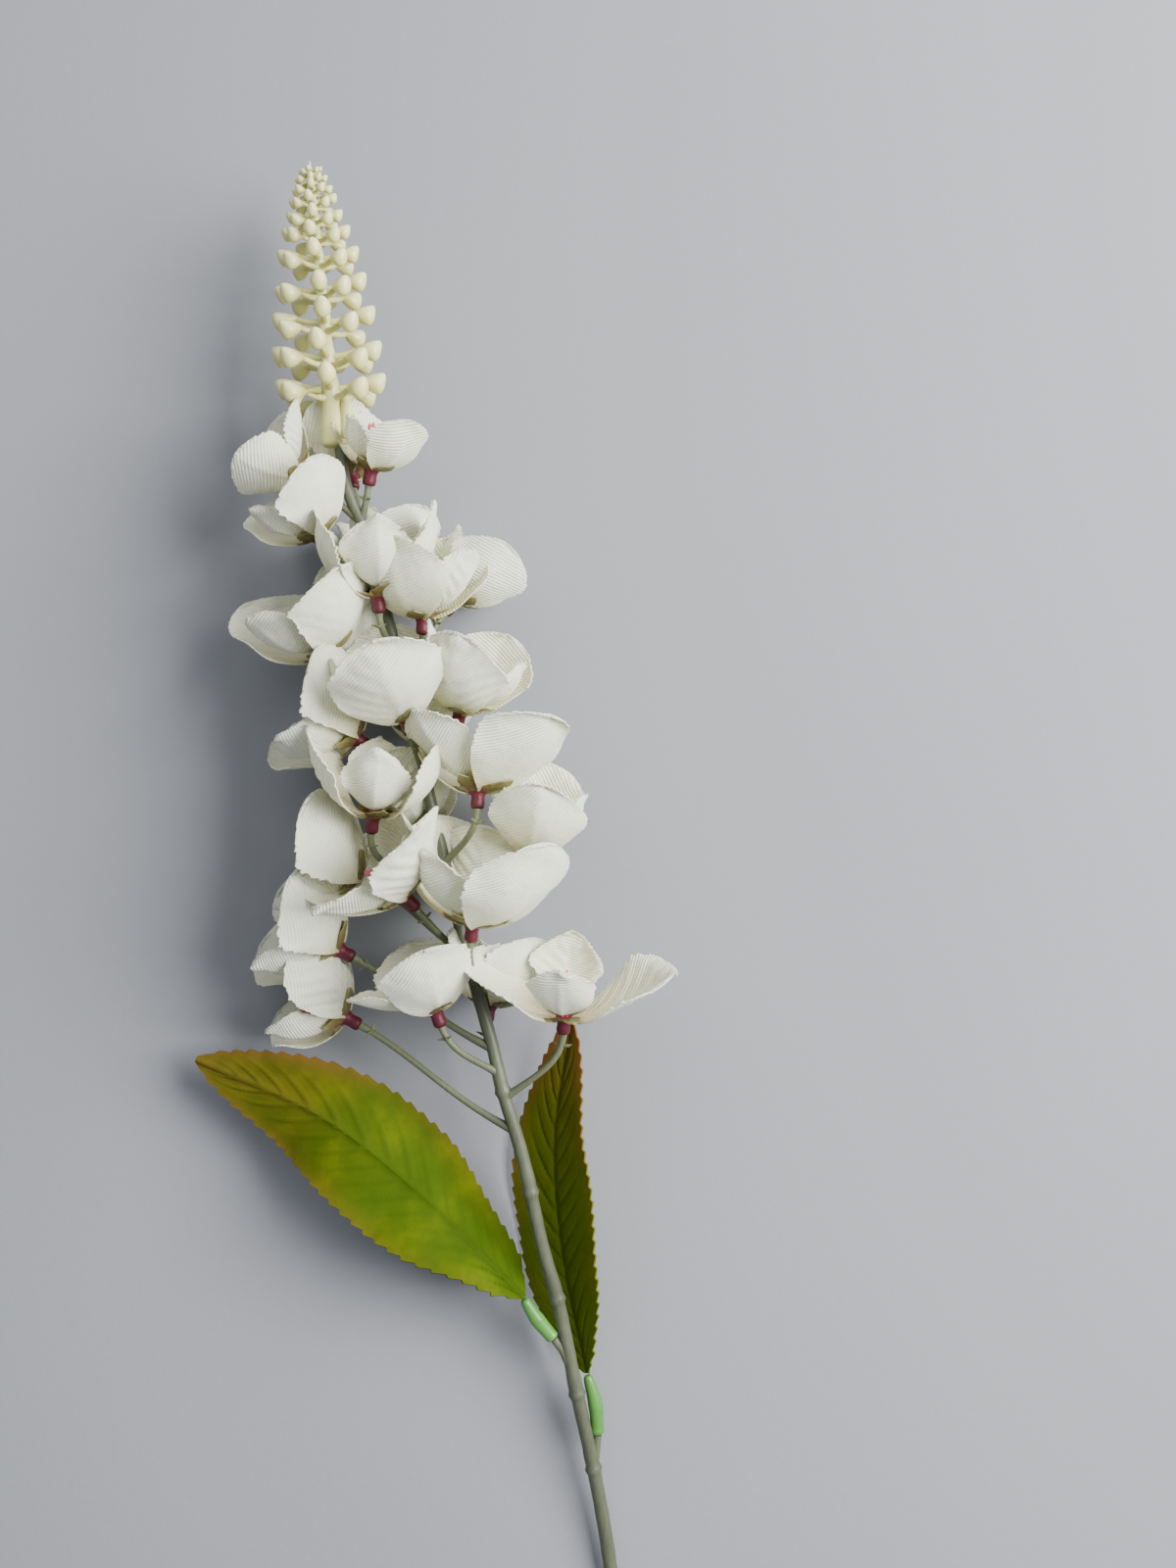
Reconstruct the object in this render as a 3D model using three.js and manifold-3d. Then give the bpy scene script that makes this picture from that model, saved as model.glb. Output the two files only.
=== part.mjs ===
// A lupin flower spike made of fabric and soft plastic, lying on its back on a flat surface.
// Millimetres, +Z up, +Y from the cut end of the stem to the tip of the buds. Everything is laid
// out from the foot of the bud tip, at the height of the spike's own axis, and the last lines
// move the whole so that it rests on z = 0 with the origin at the middle of its footprint.
import * as THREE from 'three';
import { mergeGeometries, mergeVertices } from 'three/addons/utils/BufferGeometryUtils.js';
import Module from 'manifold-3d';

const wasm = await Module();
wasm.setup();

// ---------------------------------------------------------------- driving sizes, mm and degrees
const CLEARANCE = 0.3; // between pieces that touch on the real flower
const FLOOR = -26; // the surface it lies on, below the axis of the head

// The stem, from the bud tip down to its cut end.
const STEM_ROUTE = [
  [0.1, -0.5, 0], [1.2, -8.8, 0], [3.8, -16.2, 0], [6.2, -21.2, 0], [10.2, -36.2, 0],
  [18.8, -71.8, 0], [27.8, -111.2, 0], [34.2, -136.2, 0], [38.7, -152.6, -0.5],
  [41.5, -164.7, -1], [46.4, -181.9, -3], [51.3, -205.5, -7], [55.3, -220.7, -10],
  [60.4, -247.4, -15.5], [64.8, -268.8, -19.5], [69.3, -296.5, -22.5], [72.5, -333, -24.15],
];
const STEM_RADIUS = { top: 1.5, foot: 1.9 };
const STEM_SIDES = 7;
const STEM_STEPS = 18;
const STEM_RINGS = [-164.7, -191.9, -220.7, -247.4, -268.8]; // y of the moulded rings
const RING = { height: 0.5, half: 0.7, foot: 1.5 };

// The moulded bud tip.
const BUD_FOOT = new THREE.Vector3(-1.1, 0, 0);
const BUD_AXIS = new THREE.Vector3(-6.7, 72.8, 0).normalize();
const BUD_WHORLS = [ // height up the axis, reach of the buds, size
  [17, 14.3, 1], [25.2, 14.1, 0.98], [33.8, 13.3, 0.94], [42, 12, 0.9], [49.6, 10.5, 0.82],
  [55.4, 8.8, 0.7], [59.8, 7.2, 0.6], [63.4, 6.2, 0.5], [66.4, 5.2, 0.42], [69, 4.2, 0.34],
  [71, 3.1, 0.26],
];
// Each bud widens from its stalk to a belly and ends in a point. Every other column sits lower.
const BUD = { columns: 8, sides: 4, stalk: 0.75, radius: 3.1, length: 7, belly: 0.7, lift: 10, lower: 2.6 };
const BUD_SHAFT = [[0, 0], [3.1, 0], [2.9, 7], [2.4, 12], [1.7, 16], [1.3, 25], [1, 48], [0, 73]];

// One bloom: four cupped petals on a small ring, a calyx with four sepals, two stamens.
const PETAL = { thickness: 0.6, foot: 1.9, cup: 13 };
const OUTER = { length: 24, halfWidth: 12.2, side: -1 }; // the broad outer pair
const INNER = { length: 21.5, halfWidth: 9.2, side: 1 }; // the inner pair
const PETAL_ROWS = [[1, 2], [0.68, 4], [0.3, 3]]; // from the tip down, and points across
const FOOT_ANGLE = 12; // a petal leaves the ring almost square to the bloom's axis
const CLOSED_ANGLE = 108; // and a closed one ends leaning in
const PETAL_BASE = 0.004; // where on an ellipse, along its long axis, the petal's outline starts
const PETAL_TIP = 0.984; // and where it ends
const PETAL_FULLNESS = 2; // a higher power carries the widest part towards the tip
const PAIR_STEP = 0.85; // inner and outer pairs stand this far either side of the middle
const PAIR_FLARE = 0.8; // and this much further apart along their side edges
const SOCKET = { foot: 1.75, top: 2.05, height: 4.2, spread: 1.3, under: 0.8, over: 0.4 };
const HUB = { hole: 1.2, side: 2.3, height: 1.4, above: 0.5 }; // the square ring that joins the petals
const SEPALS = { count: 4, reach: 0.3, thickness: 0.6, turn: 18 };
const STAMENS = { count: 2, length: 10, radius: 0.5, lean: 8, out: 0.3 };
const PEDICEL = { radius: 0.85, sides: 4, steps: 3, drop: 5, dropPerReach: 0.6 };
const PEDICEL_BEND = { followStem: 0.2, leave: 0.4, arrive: 0.35 }; // its curve, in parts of its length

// Blooms from the top down. socket: where the pedicel meets it. tilt: lean to the right of +Y.
// rise: lean up from the surface. roll: turns the petals from facing up towards the right. open:
// how far each petal is bent out from a closed cup, from the one that faces up towards the right.
const BLOOMS = [
  { socket: [-6.5, -9.5, 0], tilt: -58, rise: 5, roll: -24, size: 0.76, open: [8, 66, 12, 0] },
  { socket: [7.5, -10.5, 2], tilt: 12, rise: 10, roll: 40, size: 0.7, open: [12, 5, 8, 12] },
  { socket: [2.5, -10, -7], tilt: -15, rise: -25, roll: 0, size: 0.78, open: [5, 0, 5, 0] },
  { socket: [-2.5, -27.5, 5], tilt: -32, rise: 10, roll: 35, size: 0.85, open: [16, 0, 30, 20] },
  { socket: [10, -36, -7], tilt: 5, rise: -15, roll: 45, size: 0.85, open: [8, 0, 8, 0] },
  { socket: [11, -43.5, 9], tilt: -3, rise: 8, roll: 98, size: 1.08, open: [-4, 2, -12, 2] },
  { socket: [21.5, -48.5, 4], tilt: 1, rise: 8, roll: -26, size: 1.1, open: [2, 24, 5, 0] },
  { socket: [0, -57, 3], tilt: -30, rise: 8, roll: 42, size: 1.14, open: [36, 5, 12, 26] },
  { socket: [26, -42, -8.45], tilt: 35, rise: -10, roll: 20, size: 0.9, open: [12, 5, 12, 5] },
  { socket: [5, -61, -8], tilt: -20, rise: -12, roll: 0, size: 0.9, open: [10, 0, 10, 0] },
  { socket: [19, -74, 10], tilt: -18, rise: 12, roll: 0, size: 1.2, open: [5, 4, 0, 4] },
  { socket: [30, -72, 6], tilt: 18, rise: 12, roll: -12, size: 1.02, open: [4, 8, 4, 0] },
  { socket: [8, -77, 0], tilt: -58, rise: 5, roll: 45, size: 1.05, open: [22, 5, 20, 28] },
  { socket: [21, -80, -8.3], tilt: 5, rise: -12, roll: 20, size: 0.9, open: [8, 0, 8, 0] },
  { socket: [9, -98.5, 9], tilt: 8, rise: 10, roll: 95, size: 1.08, open: [-6, 2, 14, 2] },
  { socket: [35.6, -92.5, 9], tilt: 2, rise: -14, roll: 46, size: 1.2, open: [46, 5, 8, 54] },
  { socket: [22, -102, -8], tilt: -20, rise: -12, roll: 0, size: 0.92, open: [8, 0, 8, 0] },
  { socket: [47.6, -107, 2], tilt: 12, rise: 8, roll: 0, size: 1, open: [2, 4, 2, 0] },
  { socket: [9, -113, -2], tilt: -68, rise: 0, roll: 42, size: 1.08, open: [26, 5, 14, 34] },
  { socket: [20.5, -117.5, 10], tilt: -41, rise: 11, roll: 41, size: 1.16, open: [54, 5, 14, 56] },
  { socket: [34, -125.5, 11], tilt: 8, rise: 8, roll: 44, size: 1.3, open: [8, 34, 4, 30] },
  { socket: [31, -121, -8.25], tilt: 20, rise: -12, roll: 0, size: 0.92, open: [8, 0, 8, 0] },
  { socket: [3, -131, -4], tilt: -62, rise: 0, roll: 38, size: 1.06, open: [30, 5, 16, 26] },
  { socket: [26.5, -147, 8], tilt: -20, rise: 4, roll: 12, size: 0.98, open: [20, 0, 24, 72] },
  { socket: [57, -149, 6], tilt: 3, rise: 16, roll: 88, size: 1.12, open: [56, 4, 54, 20] },
  { socket: [37, -148, -8], tilt: 10, rise: -12, roll: 45, size: 0.92, open: [8, 0, 8, 0] },
  { socket: [4, -149, -8.6], tilt: -62, rise: -5, roll: 40, size: 1, open: [26, 5, 12, 28] },
];
const VARY = { open: 5, length: 0.06, turn: 4 }; // from petal to petal
const VARY_BUD = 6; // from bud to bud

// The two leaves: base, middle and tip of the rib, and which way the blade's right side points.
const LEAVES = {
  broad: {
    rib: [[46.5, -220, -9], [17.5, -190.5, -6.5], [-6.5, -172, -7], [-39.5, -158.5, -13]],
    side: [0.55, -0.83, 0.1],
    halfWidth: 16,
    fold: 0.1,
  },
  rear: {
    rib: [[63, -242.5, -17.5], [56.5, -210, -16], [54.5, -180, -14.5], [59, -148, -11]],
    side: [0.72, 0, 0.69],
    halfWidth: 14,
    fold: 0.12,
  },
};
const LEAF = { thickness: 0.7, stations: 12, teeth: 2, base: 0.05, tip: 0.02, lean: 0.9, blunt: 0.75 };
const TOOTH = { height: 1.1, peak: 0.8, rim: 0.9 }; // its peak along the tooth, and where it starts

// Green sleeves that hold the leaves on short stubs of the stem.
const SLEEVES = {
  broad: {
    tube: [[46.62, -220.42, -9.1], [50, -226, -10.4], [54, -231, -11.6]],
    stub: [[54.3, -231.4, -11.7], [56.5, -234.5, -12.6], [58.2, -238, -13.4]],
  },
  rear: {
    tube: [[63.1, -243, -17.55], [65.2, -251, -18.4], [65.8, -258.6, -18.8]],
    stub: [[65.8, -259.2, -18.8], [65.4, -263, -19.1], [64.6, -268.5, -19.6]],
  },
};
const SLEEVE = { radius: [1.2, 1.9, 1.6], sides: 6, steps: 5 };
const STUB = { radius: [1.1, 1.2, 1.4], sides: 6, steps: 3 };

// ---------------------------------------------------------------- colours
const finish = (color, roughness) => new THREE.MeshStandardMaterial({ color, roughness, metalness: 0 });
const FINISH = {
  fabric: () => finish(0xe4e2d6, 0.85),
  socket: () => finish(0x7d2438, 0.5),
  stem: () => finish(0x64695a, 0.5),
  bud: () => finish(0xe6e0b4, 0.45),
  leaf: () => finish(0x6f8420, 0.6),
  sleeve: () => finish(0x5c9a4a, 0.45),
};

// ---------------------------------------------------------------- small helpers
const degrees = THREE.MathUtils.degToRad;
const vector = (list) => new THREE.Vector3(...list);
const mix = THREE.MathUtils.lerp;

// A repeatable draw from -1 to 1 for petal `k` of bloom `i`, one series for each `use`.
function draw(i, k, use) {
  const wave = Math.sin(i * 12.9898 + k * 78.233 + use * 37.719) * 43758.5453;
  return 2 * (wave - Math.floor(wave)) - 1;
}

function solid(geometry) {
  const bare = geometry.clone();
  bare.deleteAttribute('normal');
  bare.deleteAttribute('uv');
  const merged = mergeVertices(bare, 1e-4);
  return new wasm.Manifold(new wasm.Mesh({
    numProp: 3,
    vertProperties: new Float32Array(merged.attributes.position.array),
    triVerts: new Uint32Array(merged.index.array),
  }));
}

function geometryOf(body) {
  const mesh = body.getMesh();
  const geometry = new THREE.BufferGeometry();
  geometry.setAttribute('position', new THREE.BufferAttribute(mesh.vertProperties, 3));
  geometry.setIndex(new THREE.BufferAttribute(mesh.triVerts, 1));
  geometry.computeVertexNormals();
  return geometry;
}

const join = (bodies) => bodies.reduce((all, body) => all.add(body));

// The largest loose part of a body that has been cut.
function largest(body) {
  return body.decompose().reduce((best, part) => (part.volume() > best.volume() ? part : best));
}

// A closed geometry from points and triangles.
function closed(points, triangles) {
  const geometry = new THREE.BufferGeometry().setFromPoints(points);
  geometry.setIndex(triangles);
  return geometry;
}

// Triangles between two rows of spots, stepping along whichever row is behind.
function zip(first, second, triangles) {
  let i = 0;
  let j = 0;
  while (i < first.length - 1 || j < second.length - 1) {
    const nextFirst = i < first.length - 1 ? first[i + 1].t : Infinity;
    const nextSecond = j < second.length - 1 ? second[j + 1].t : Infinity;
    if (nextFirst <= nextSecond) {
      triangles.push([first[i].id, first[i + 1].id, second[j].id]);
      i += 1;
    } else {
      triangles.push([first[i].id, second[j + 1].id, second[j].id]);
      j += 1;
    }
  }
}

// A spot on a blade, with the points of its upper and lower faces.
function onBlade({ at, up, t }, thickness) {
  return {
    upper: at.clone().addScaledVector(up, thickness / 2),
    lower: at.clone().addScaledVector(up, -thickness / 2),
    t,
  };
}

// A blade: rows of spots make its two faces, which are closed round the rim. Between spots marked
// `joined` it stays open, to grow out of another piece.
function blade(rows) {
  const spots = rows.flat();
  spots.forEach((spot, id) => { spot.id = id; });
  const face = [];
  for (let i = 0; i < rows.length - 1; i += 1) {
    zip(rows[i], rows[i + 1], face);
  }
  const count = spots.length;
  const points = [...spots.map((spot) => spot.upper), ...spots.map((spot) => spot.lower)];
  const used = new Set(face.flatMap(([a, b, c]) => [`${a},${b}`, `${b},${c}`, `${c},${a}`]));
  const triangles = [];
  for (const [a, b, c] of face) {
    triangles.push(a, b, c, count + c, count + b, count + a);
    for (const [from, to] of [[a, b], [b, c], [c, a]]) {
      const open = spots[from].joined && spots[to].joined;
      if (!open && !used.has(`${to},${from}`)) {
        triangles.push(to, from, count + from, to, count + from, count + to);
      }
    }
  }
  return closed(points, triangles);
}

// Triangles that skin `count` rings of points, one above the other and counter-clockwise from
// above, and cap both ends.
function stackedRings(count, sides) {
  const triangles = [];
  for (let i = 0; i < count - 1; i += 1) {
    for (let k = 0; k < sides; k += 1) {
      const [a, b] = [i * sides + k, i * sides + ((k + 1) % sides)];
      triangles.push(a, b, b + sides, a, b + sides, a + sides);
    }
  }
  const last = (count - 1) * sides;
  for (let k = 1; k < sides - 1; k += 1) {
    triangles.push(0, k + 1, k, last, last + k, last + k + 1);
  }
  return triangles;
}

// A solid tube along `curve`, with its radius given at each of its stations.
function tube(curve, stations, radiusAt, sides) {
  const points = [];
  const triangles = [];
  const side = new THREE.Vector3(0, 0, 1);
  stations.forEach((t) => {
    const along = curve.getTangentAt(t);
    const across = new THREE.Vector3().crossVectors(along, side).normalize();
    const up = new THREE.Vector3().crossVectors(across, along);
    const centre = curve.getPointAt(t);
    for (let k = 0; k < sides; k += 1) {
      const angle = (2 * Math.PI * k) / sides;
      points.push(centre.clone()
        .addScaledVector(across, radiusAt(t) * Math.cos(angle))
        .addScaledVector(up, radiusAt(t) * Math.sin(angle)));
    }
  });
  return closed(points, stackedRings(stations.length, sides).reverse());
}

const evenly = (steps) => Array.from({ length: steps + 1 }, (_, i) => i / steps);
const through = (list) => new THREE.CatmullRomCurve3(list.map(vector));

// A radius that runs through three values along the tube.
const threeRadii = ([first, middle, last]) => (t) => (
  t < 0.5 ? mix(first, middle, 2 * t) : mix(middle, last, 2 * t - 1));

// ---------------------------------------------------------------- bloom
// The frame of a bloom: its axis is local +Z, and local +X is the side that faces up.
function bloomFrame({ socket, tilt, rise, roll }) {
  const axis = new THREE.Vector3(
    Math.sin(degrees(tilt)) * Math.cos(degrees(rise)),
    Math.cos(degrees(tilt)) * Math.cos(degrees(rise)),
    Math.sin(degrees(rise)),
  );
  const front = new THREE.Vector3(0, 0, 1).addScaledVector(axis, -axis.z).normalize();
  const side = new THREE.Vector3().crossVectors(axis, front);
  const turned = front.clone().applyAxisAngle(axis, degrees(roll));
  const turnedSide = side.clone().applyAxisAngle(axis, degrees(roll));
  return new THREE.Matrix4().makeBasis(turned, turnedSide, axis).setPosition(...socket);
}

const BLOOM_AXIS = new THREE.Vector3(0, 0, 1); // in a bloom's own frame
const PETAL_FOOT_Z = SOCKET.height + HUB.above + HUB.height / 2;

// A spot on petal k of bloom i: an arc of a circle leads from the ring up the middle of the petal,
// and each row is an arc across it, bent towards the bloom's axis.
function petalSpot(i, k, u, v, extra = 0) {
  const { size, open } = BLOOMS[i];
  const pair = k % 2 ? INNER : OUTER;
  const length = pair.length * size * (1 + VARY.length * draw(i, k, 1)) + extra;
  const start = degrees(FOOT_ANGLE);
  const spread = VARY.open * Math.abs(draw(i, k, 2));
  const end = degrees(CLOSED_ANGLE - open[k % 4] + pair.side * spread);
  const slope = mix(start, end, u);
  const bend = end - start;
  const out = PETAL.foot + (length * (Math.sin(slope) - Math.sin(start))) / bend;
  const high = PETAL_FOOT_Z + (length * (Math.cos(start) - Math.cos(slope))) / bend;
  const outline = 2 * mix(PETAL_BASE, PETAL_TIP, u ** PETAL_FULLNESS) - 1;
  const cup = PETAL.cup * size;
  const reach = pair.halfWidth * size * Math.sqrt(1 - outline * outline) + extra;
  const swing = (v * reach) / cup;
  const inward = new THREE.Vector3(-Math.sin(slope), 0, Math.cos(slope));
  const sideways = new THREE.Vector3(0, 1, 0);
  const up = inward.clone().multiplyScalar(Math.cos(swing)).addScaledVector(sideways, -Math.sin(swing));
  const at = new THREE.Vector3(out, 0, high)
    .addScaledVector(sideways, cup * Math.sin(swing))
    .addScaledVector(inward, cup * (1 - Math.cos(swing)))
    .addScaledVector(up, pair.side * (PAIR_STEP + PAIR_FLARE * size * v * v));
  const turn = degrees(90 * k + VARY.turn * draw(i, k, 3));
  return { at: at.applyAxisAngle(BLOOM_AXIS, turn), up: up.applyAxisAngle(BLOOM_AXIS, turn), t: v };
}

// Four petals, each grown out of one side of the square ring that they share.
function petals(i, extra) {
  const corner = (radius, k, z) => new THREE.Vector3(radius * Math.SQRT2, 0, PETAL_FOOT_Z + z)
    .applyAxisAngle(BLOOM_AXIS, degrees(90 * k - 45));
  const high = HUB.height / 2 + extra;
  const [inside, outside] = [HUB.hole - extra, HUB.side + extra];
  const parts = [];
  for (let k = 0; k < 4; k += 1) {
    const hub = [k, k + 1].flatMap((n) => [
      corner(outside, n, high), corner(inside, n, high),
      corner(inside, n, -high), corner(outside, n, -high)]);
    parts.push(closed(hub, [0, 4, 1, 4, 5, 1, 1, 5, 2, 5, 6, 2, 2, 6, 3, 6, 7, 3]));
    const rows = PETAL_ROWS.map(([u, points]) => Array.from({ length: points }, (_, n) => (
      onBlade(petalSpot(i, k, u, mix(-1, 1, n / (points - 1)), extra), PETAL.thickness + 2 * extra))));
    rows.push([k, k + 1].map((n) => (
      { upper: corner(outside, n, high), lower: corner(outside, n, -high), t: n, joined: true })));
    parts.push(blade(rows));
  }
  return solid(mergeGeometries(parts).applyMatrix4(bloomFrame(BLOOMS[i])));
}

// The crimson socket, spread at its top into the sepals under the petals, with the stamens that
// stand up through the petals' ring.
function holder(i, extra) {
  const sides = 2 * SEPALS.count;
  const points = [];
  const ring = (spotAt) => {
    for (let k = 0; k < sides; k += 1) {
      const turn = degrees((360 / sides) * k + SEPALS.turn);
      points.push(spotAt(k).applyAxisAngle(BLOOM_AXIS, turn));
    }
  };
  const round = (radius, z) => () => new THREE.Vector3(radius + extra, 0, z);
  const star = (radius, z, drop) => (k) => {
    if (k % 2) {
      return new THREE.Vector3(radius + extra, 0, z);
    }
    const above = petalSpot(i, k / 2, SEPALS.reach, 0).at;
    return new THREE.Vector3(Math.hypot(above.x, above.y) + 2 * extra, 0, above.z - drop);
  };
  const under = PAIR_STEP + PETAL.thickness + CLEARANCE;
  ring(round(SOCKET.foot, 0));
  ring(round(SOCKET.top, SOCKET.height - SOCKET.spread));
  ring(star(SOCKET.top, SOCKET.height - SOCKET.under, under + SEPALS.thickness + extra));
  ring(star(SOCKET.top, SOCKET.height - SOCKET.over, under - extra));
  ring(round(SOCKET.top, SOCKET.height));
  const parts = [closed(points, stackedRings(points.length / sides, sides))];
  for (let k = 0; k < STAMENS.count; k += 1) {
    const stamen = new THREE.ConeGeometry(STAMENS.radius, STAMENS.length, 3);
    stamen.rotateX(Math.PI / 2).translate(STAMENS.out, 0, STAMENS.length / 2);
    stamen.rotateY(degrees(STAMENS.lean)).rotateZ((2 * Math.PI * k) / STAMENS.count);
    parts.push(stamen.translate(0, 0, SOCKET.height - SOCKET.under));
  }
  const place = bloomFrame(BLOOMS[i]);
  return join(parts.map((part) => solid(part.applyMatrix4(place))));
}

// ---------------------------------------------------------------- stem
const stemCurve = through(STEM_ROUTE);

// How far along the stem, from 0 to 1, it passes height y.
function stemAt(y) {
  let [low, high] = [0, 1];
  while (high - low > 1e-4) {
    const middle = (low + high) / 2;
    if (stemCurve.getPointAt(middle).y > y) {
      low = middle;
    } else {
      high = middle;
    }
  }
  return low;
}

// A pedicel leaves the stem below its bloom and curves into the foot of the socket.
function pedicelCurve(i) {
  const place = bloomFrame(BLOOMS[i]);
  const axis = new THREE.Vector3().setFromMatrixColumn(place, 2);
  const end = vector(BLOOMS[i].socket).addScaledVector(axis, -CLEARANCE);
  const reach = stemCurve.getPointAt(stemAt(end.y)).distanceTo(end);
  const t = stemAt(end.y - PEDICEL.drop - PEDICEL.dropPerReach * reach);
  const start = stemCurve.getPointAt(t);
  const length = start.distanceTo(end);
  const away = end.clone().sub(start).normalize()
    .addScaledVector(stemCurve.getTangentAt(t), PEDICEL_BEND.followStem).normalize();
  return new THREE.CubicBezierCurve3(
    start,
    start.clone().addScaledVector(away, PEDICEL_BEND.leave * length),
    end.clone().addScaledVector(axis, -PEDICEL_BEND.arrive * length),
    end,
  );
}

function stem(extra) {
  const length = stemCurve.getLength();
  const rings = STEM_RINGS.map(stemAt);
  const near = rings.flatMap((t) => (
    [-RING.foot, -RING.half, RING.half, RING.foot].map((step) => t + step / length)));
  const clear = (t) => rings.every((ring) => Math.abs(ring - t) * length > 2 * RING.foot);
  const stations = [...evenly(STEM_STEPS).filter(clear), ...near].sort((a, b) => a - b);
  const radiusAt = (t) => {
    const onRing = rings.some((ring) => 2 * Math.abs(ring - t) * length < RING.half + RING.foot);
    return mix(STEM_RADIUS.top, STEM_RADIUS.foot, t) + (onRing ? RING.height : 0) + extra;
  };
  const parts = [tube(stemCurve, stations, radiusAt, STEM_SIDES)];
  for (let i = 0; i < BLOOMS.length; i += 1) {
    const radius = PEDICEL.radius + extra;
    parts.push(tube(pedicelCurve(i), evenly(PEDICEL.steps), () => radius, PEDICEL.sides));
  }
  for (const { stub } of Object.values(SLEEVES)) {
    const radii = STUB.radius.map((radius) => radius + extra);
    parts.push(tube(through(stub), evenly(STUB.steps), threeRadii(radii), STUB.sides));
  }
  return join(parts.map(solid));
}

// ---------------------------------------------------------------- bud tip
function budTip(extra) {
  const shaft = new THREE.LatheGeometry(
    BUD_SHAFT.map(([x, y]) => new THREE.Vector2(x ? x + extra : 0, y)), 8);
  const parts = [shaft];
  BUD_WHORLS.forEach(([height, reach, size], level) => {
    const neck = reach - BUD.length * size;
    const belly = neck + BUD.belly * BUD.length * size;
    const stalk = BUD.stalk * size;
    const profile = [[0, 0], [stalk, 0], [stalk, neck], [BUD.radius * size, belly], [0, reach]]
      .map(([x, y]) => new THREE.Vector2(x ? x + extra : 0, y));
    for (let k = 0; k < BUD.columns; k += 1) {
      const bud = new THREE.LatheGeometry(profile, BUD.sides);
      bud.rotateZ(degrees(BUD.lift - 90 + VARY_BUD * draw(level, k, 4)));
      bud.rotateY(degrees((360 * k) / BUD.columns + VARY_BUD * draw(level, k, 5)));
      const foot = height - BUD.lower * size * (k % 2) - reach * Math.sin(degrees(BUD.lift));
      parts.push(bud.translate(0, foot, 0));
    }
  });
  const stand = new THREE.Quaternion().setFromUnitVectors(new THREE.Vector3(0, 1, 0), BUD_AXIS);
  const place = new THREE.Matrix4().makeRotationFromQuaternion(stand).setPosition(BUD_FOOT);
  return join(parts.map((part) => solid(part.applyMatrix4(place))));
}

// ---------------------------------------------------------------- leaves
// A leaf lies along its rib, is bent up a little to both sides of it, and has saw teeth that
// point to its tip.
function leaf({ rib, side, halfWidth, fold }) {
  const curve = through(rib);
  const right = vector(side).normalize();
  const spot = (u, v) => {
    const along = curve.getTangentAt(u);
    const across = right.clone().addScaledVector(along, -along.dot(right)).normalize();
    const up = new THREE.Vector3().crossVectors(across, along);
    const outline = mix(LEAF.base, 1 - LEAF.tip, u ** LEAF.lean);
    const reach = v * halfWidth * Math.sin(Math.PI * outline) ** LEAF.blunt;
    const at = curve.getPointAt(u).addScaledVector(across, reach)
      .addScaledVector(up, fold * Math.abs(reach));
    up.addScaledVector(across, -fold * Math.sign(v)).normalize();
    return { at, up, t: u };
  };
  const edge = (v) => {
    const spots = [];
    for (let n = 0; n < LEAF.stations * LEAF.teeth; n += 1) {
      const step = 1 / (LEAF.stations * LEAF.teeth);
      spots.push(spot(n * step, v));
      const tooth = spot((n + TOOTH.peak) * step, v);
      const rim = spot((n + TOOTH.peak) * step, TOOTH.rim * v);
      const outward = tooth.at.clone().sub(rim.at).normalize();
      tooth.at.addScaledVector(outward, TOOTH.height);
      spots.push(tooth);
    }
    spots.push(spot(1, v));
    return spots;
  };
  const line = (v) => evenly(LEAF.stations).map((u) => spot(u, v));
  const rows = [edge(1), line(0), edge(-1)];
  return solid(blade(rows.map((row) => row.map((it) => onBlade(it, LEAF.thickness)))));
}

function sleeve(name, extra) {
  const radii = SLEEVE.radius.map((radius) => radius + extra);
  return solid(tube(through(SLEEVES[name].tube), evenly(SLEEVE.steps), threeRadii(radii), SLEEVE.sides));
}

// ---------------------------------------------------------------- fitting the pieces together
const boxesMeet = (a, b) => {
  const [first, second] = [a.boundingBox(), b.boundingBox()];
  return [0, 1, 2].every((n) => first.min[n] <= second.max[n] && second.min[n] <= first.max[n]);
};

// Cuts a body clear of others, which are given a little larger than they are.
function clearOf(body, others) {
  const near = others.filter((other) => boxesMeet(body, other));
  return near.length ? largest(near.reduce((rest, other) => rest.subtract(other), body)) : body;
}

const underfoot = new THREE.BoxGeometry(600, 900, 60).translate(0, -130, FLOOR - 30);
const floorBlock = solid(underfoot);
const pressed = (body) => (boxesMeet(body, floorBlock) ? largest(body.subtract(floorBlock)) : body);

const pieces = new Map();
const rearward = BLOOMS.map((bloom, i) => i).sort((a, b) => BLOOMS[b].socket[2] - BLOOMS[a].socket[2]);
const stemBody = stem(0);
const holders = BLOOMS.map((bloom, i) => holder(i, 0));
const tip = budTip(0);
const sleeves = { broad: sleeve('broad', 0), rear: sleeve('rear', 0) };

const fixed = [stem(CLEARANCE), budTip(CLEARANCE)];
const taken = [];
const blooms = [];
for (const i of rearward) {
  const others = BLOOMS.map((bloom, j) => j).filter((j) => j !== i).map((j) => holder(j, CLEARANCE + 0.1));
  const body = clearOf(petals(i, 0), [...fixed, ...holders, ...others, ...taken]);
  blooms[i] = pressed(body);
  taken.push(petals(i, CLEARANCE));
}
pieces.set('stem', { body: pressed(stemBody), material: FINISH.stem() });
pieces.set('bud_tip', { body: tip, material: FINISH.bud() });
BLOOMS.forEach((bloom, i) => {
  const number = String(i + 1).padStart(2, '0');
  pieces.set(`petals_${number}`, { body: blooms[i], material: FINISH.fabric() });
  pieces.set(`calyx_${number}`, { body: pressed(holders[i]), material: FINISH.socket() });
});
for (const name of ['broad', 'rear']) {
  pieces.set(`leaf_${name}`, { body: pressed(leaf(LEAVES[name])), material: FINISH.leaf() });
  pieces.set(`sleeve_${name}`, { body: sleeves[name], material: FINISH.sleeve() });
}

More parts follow.
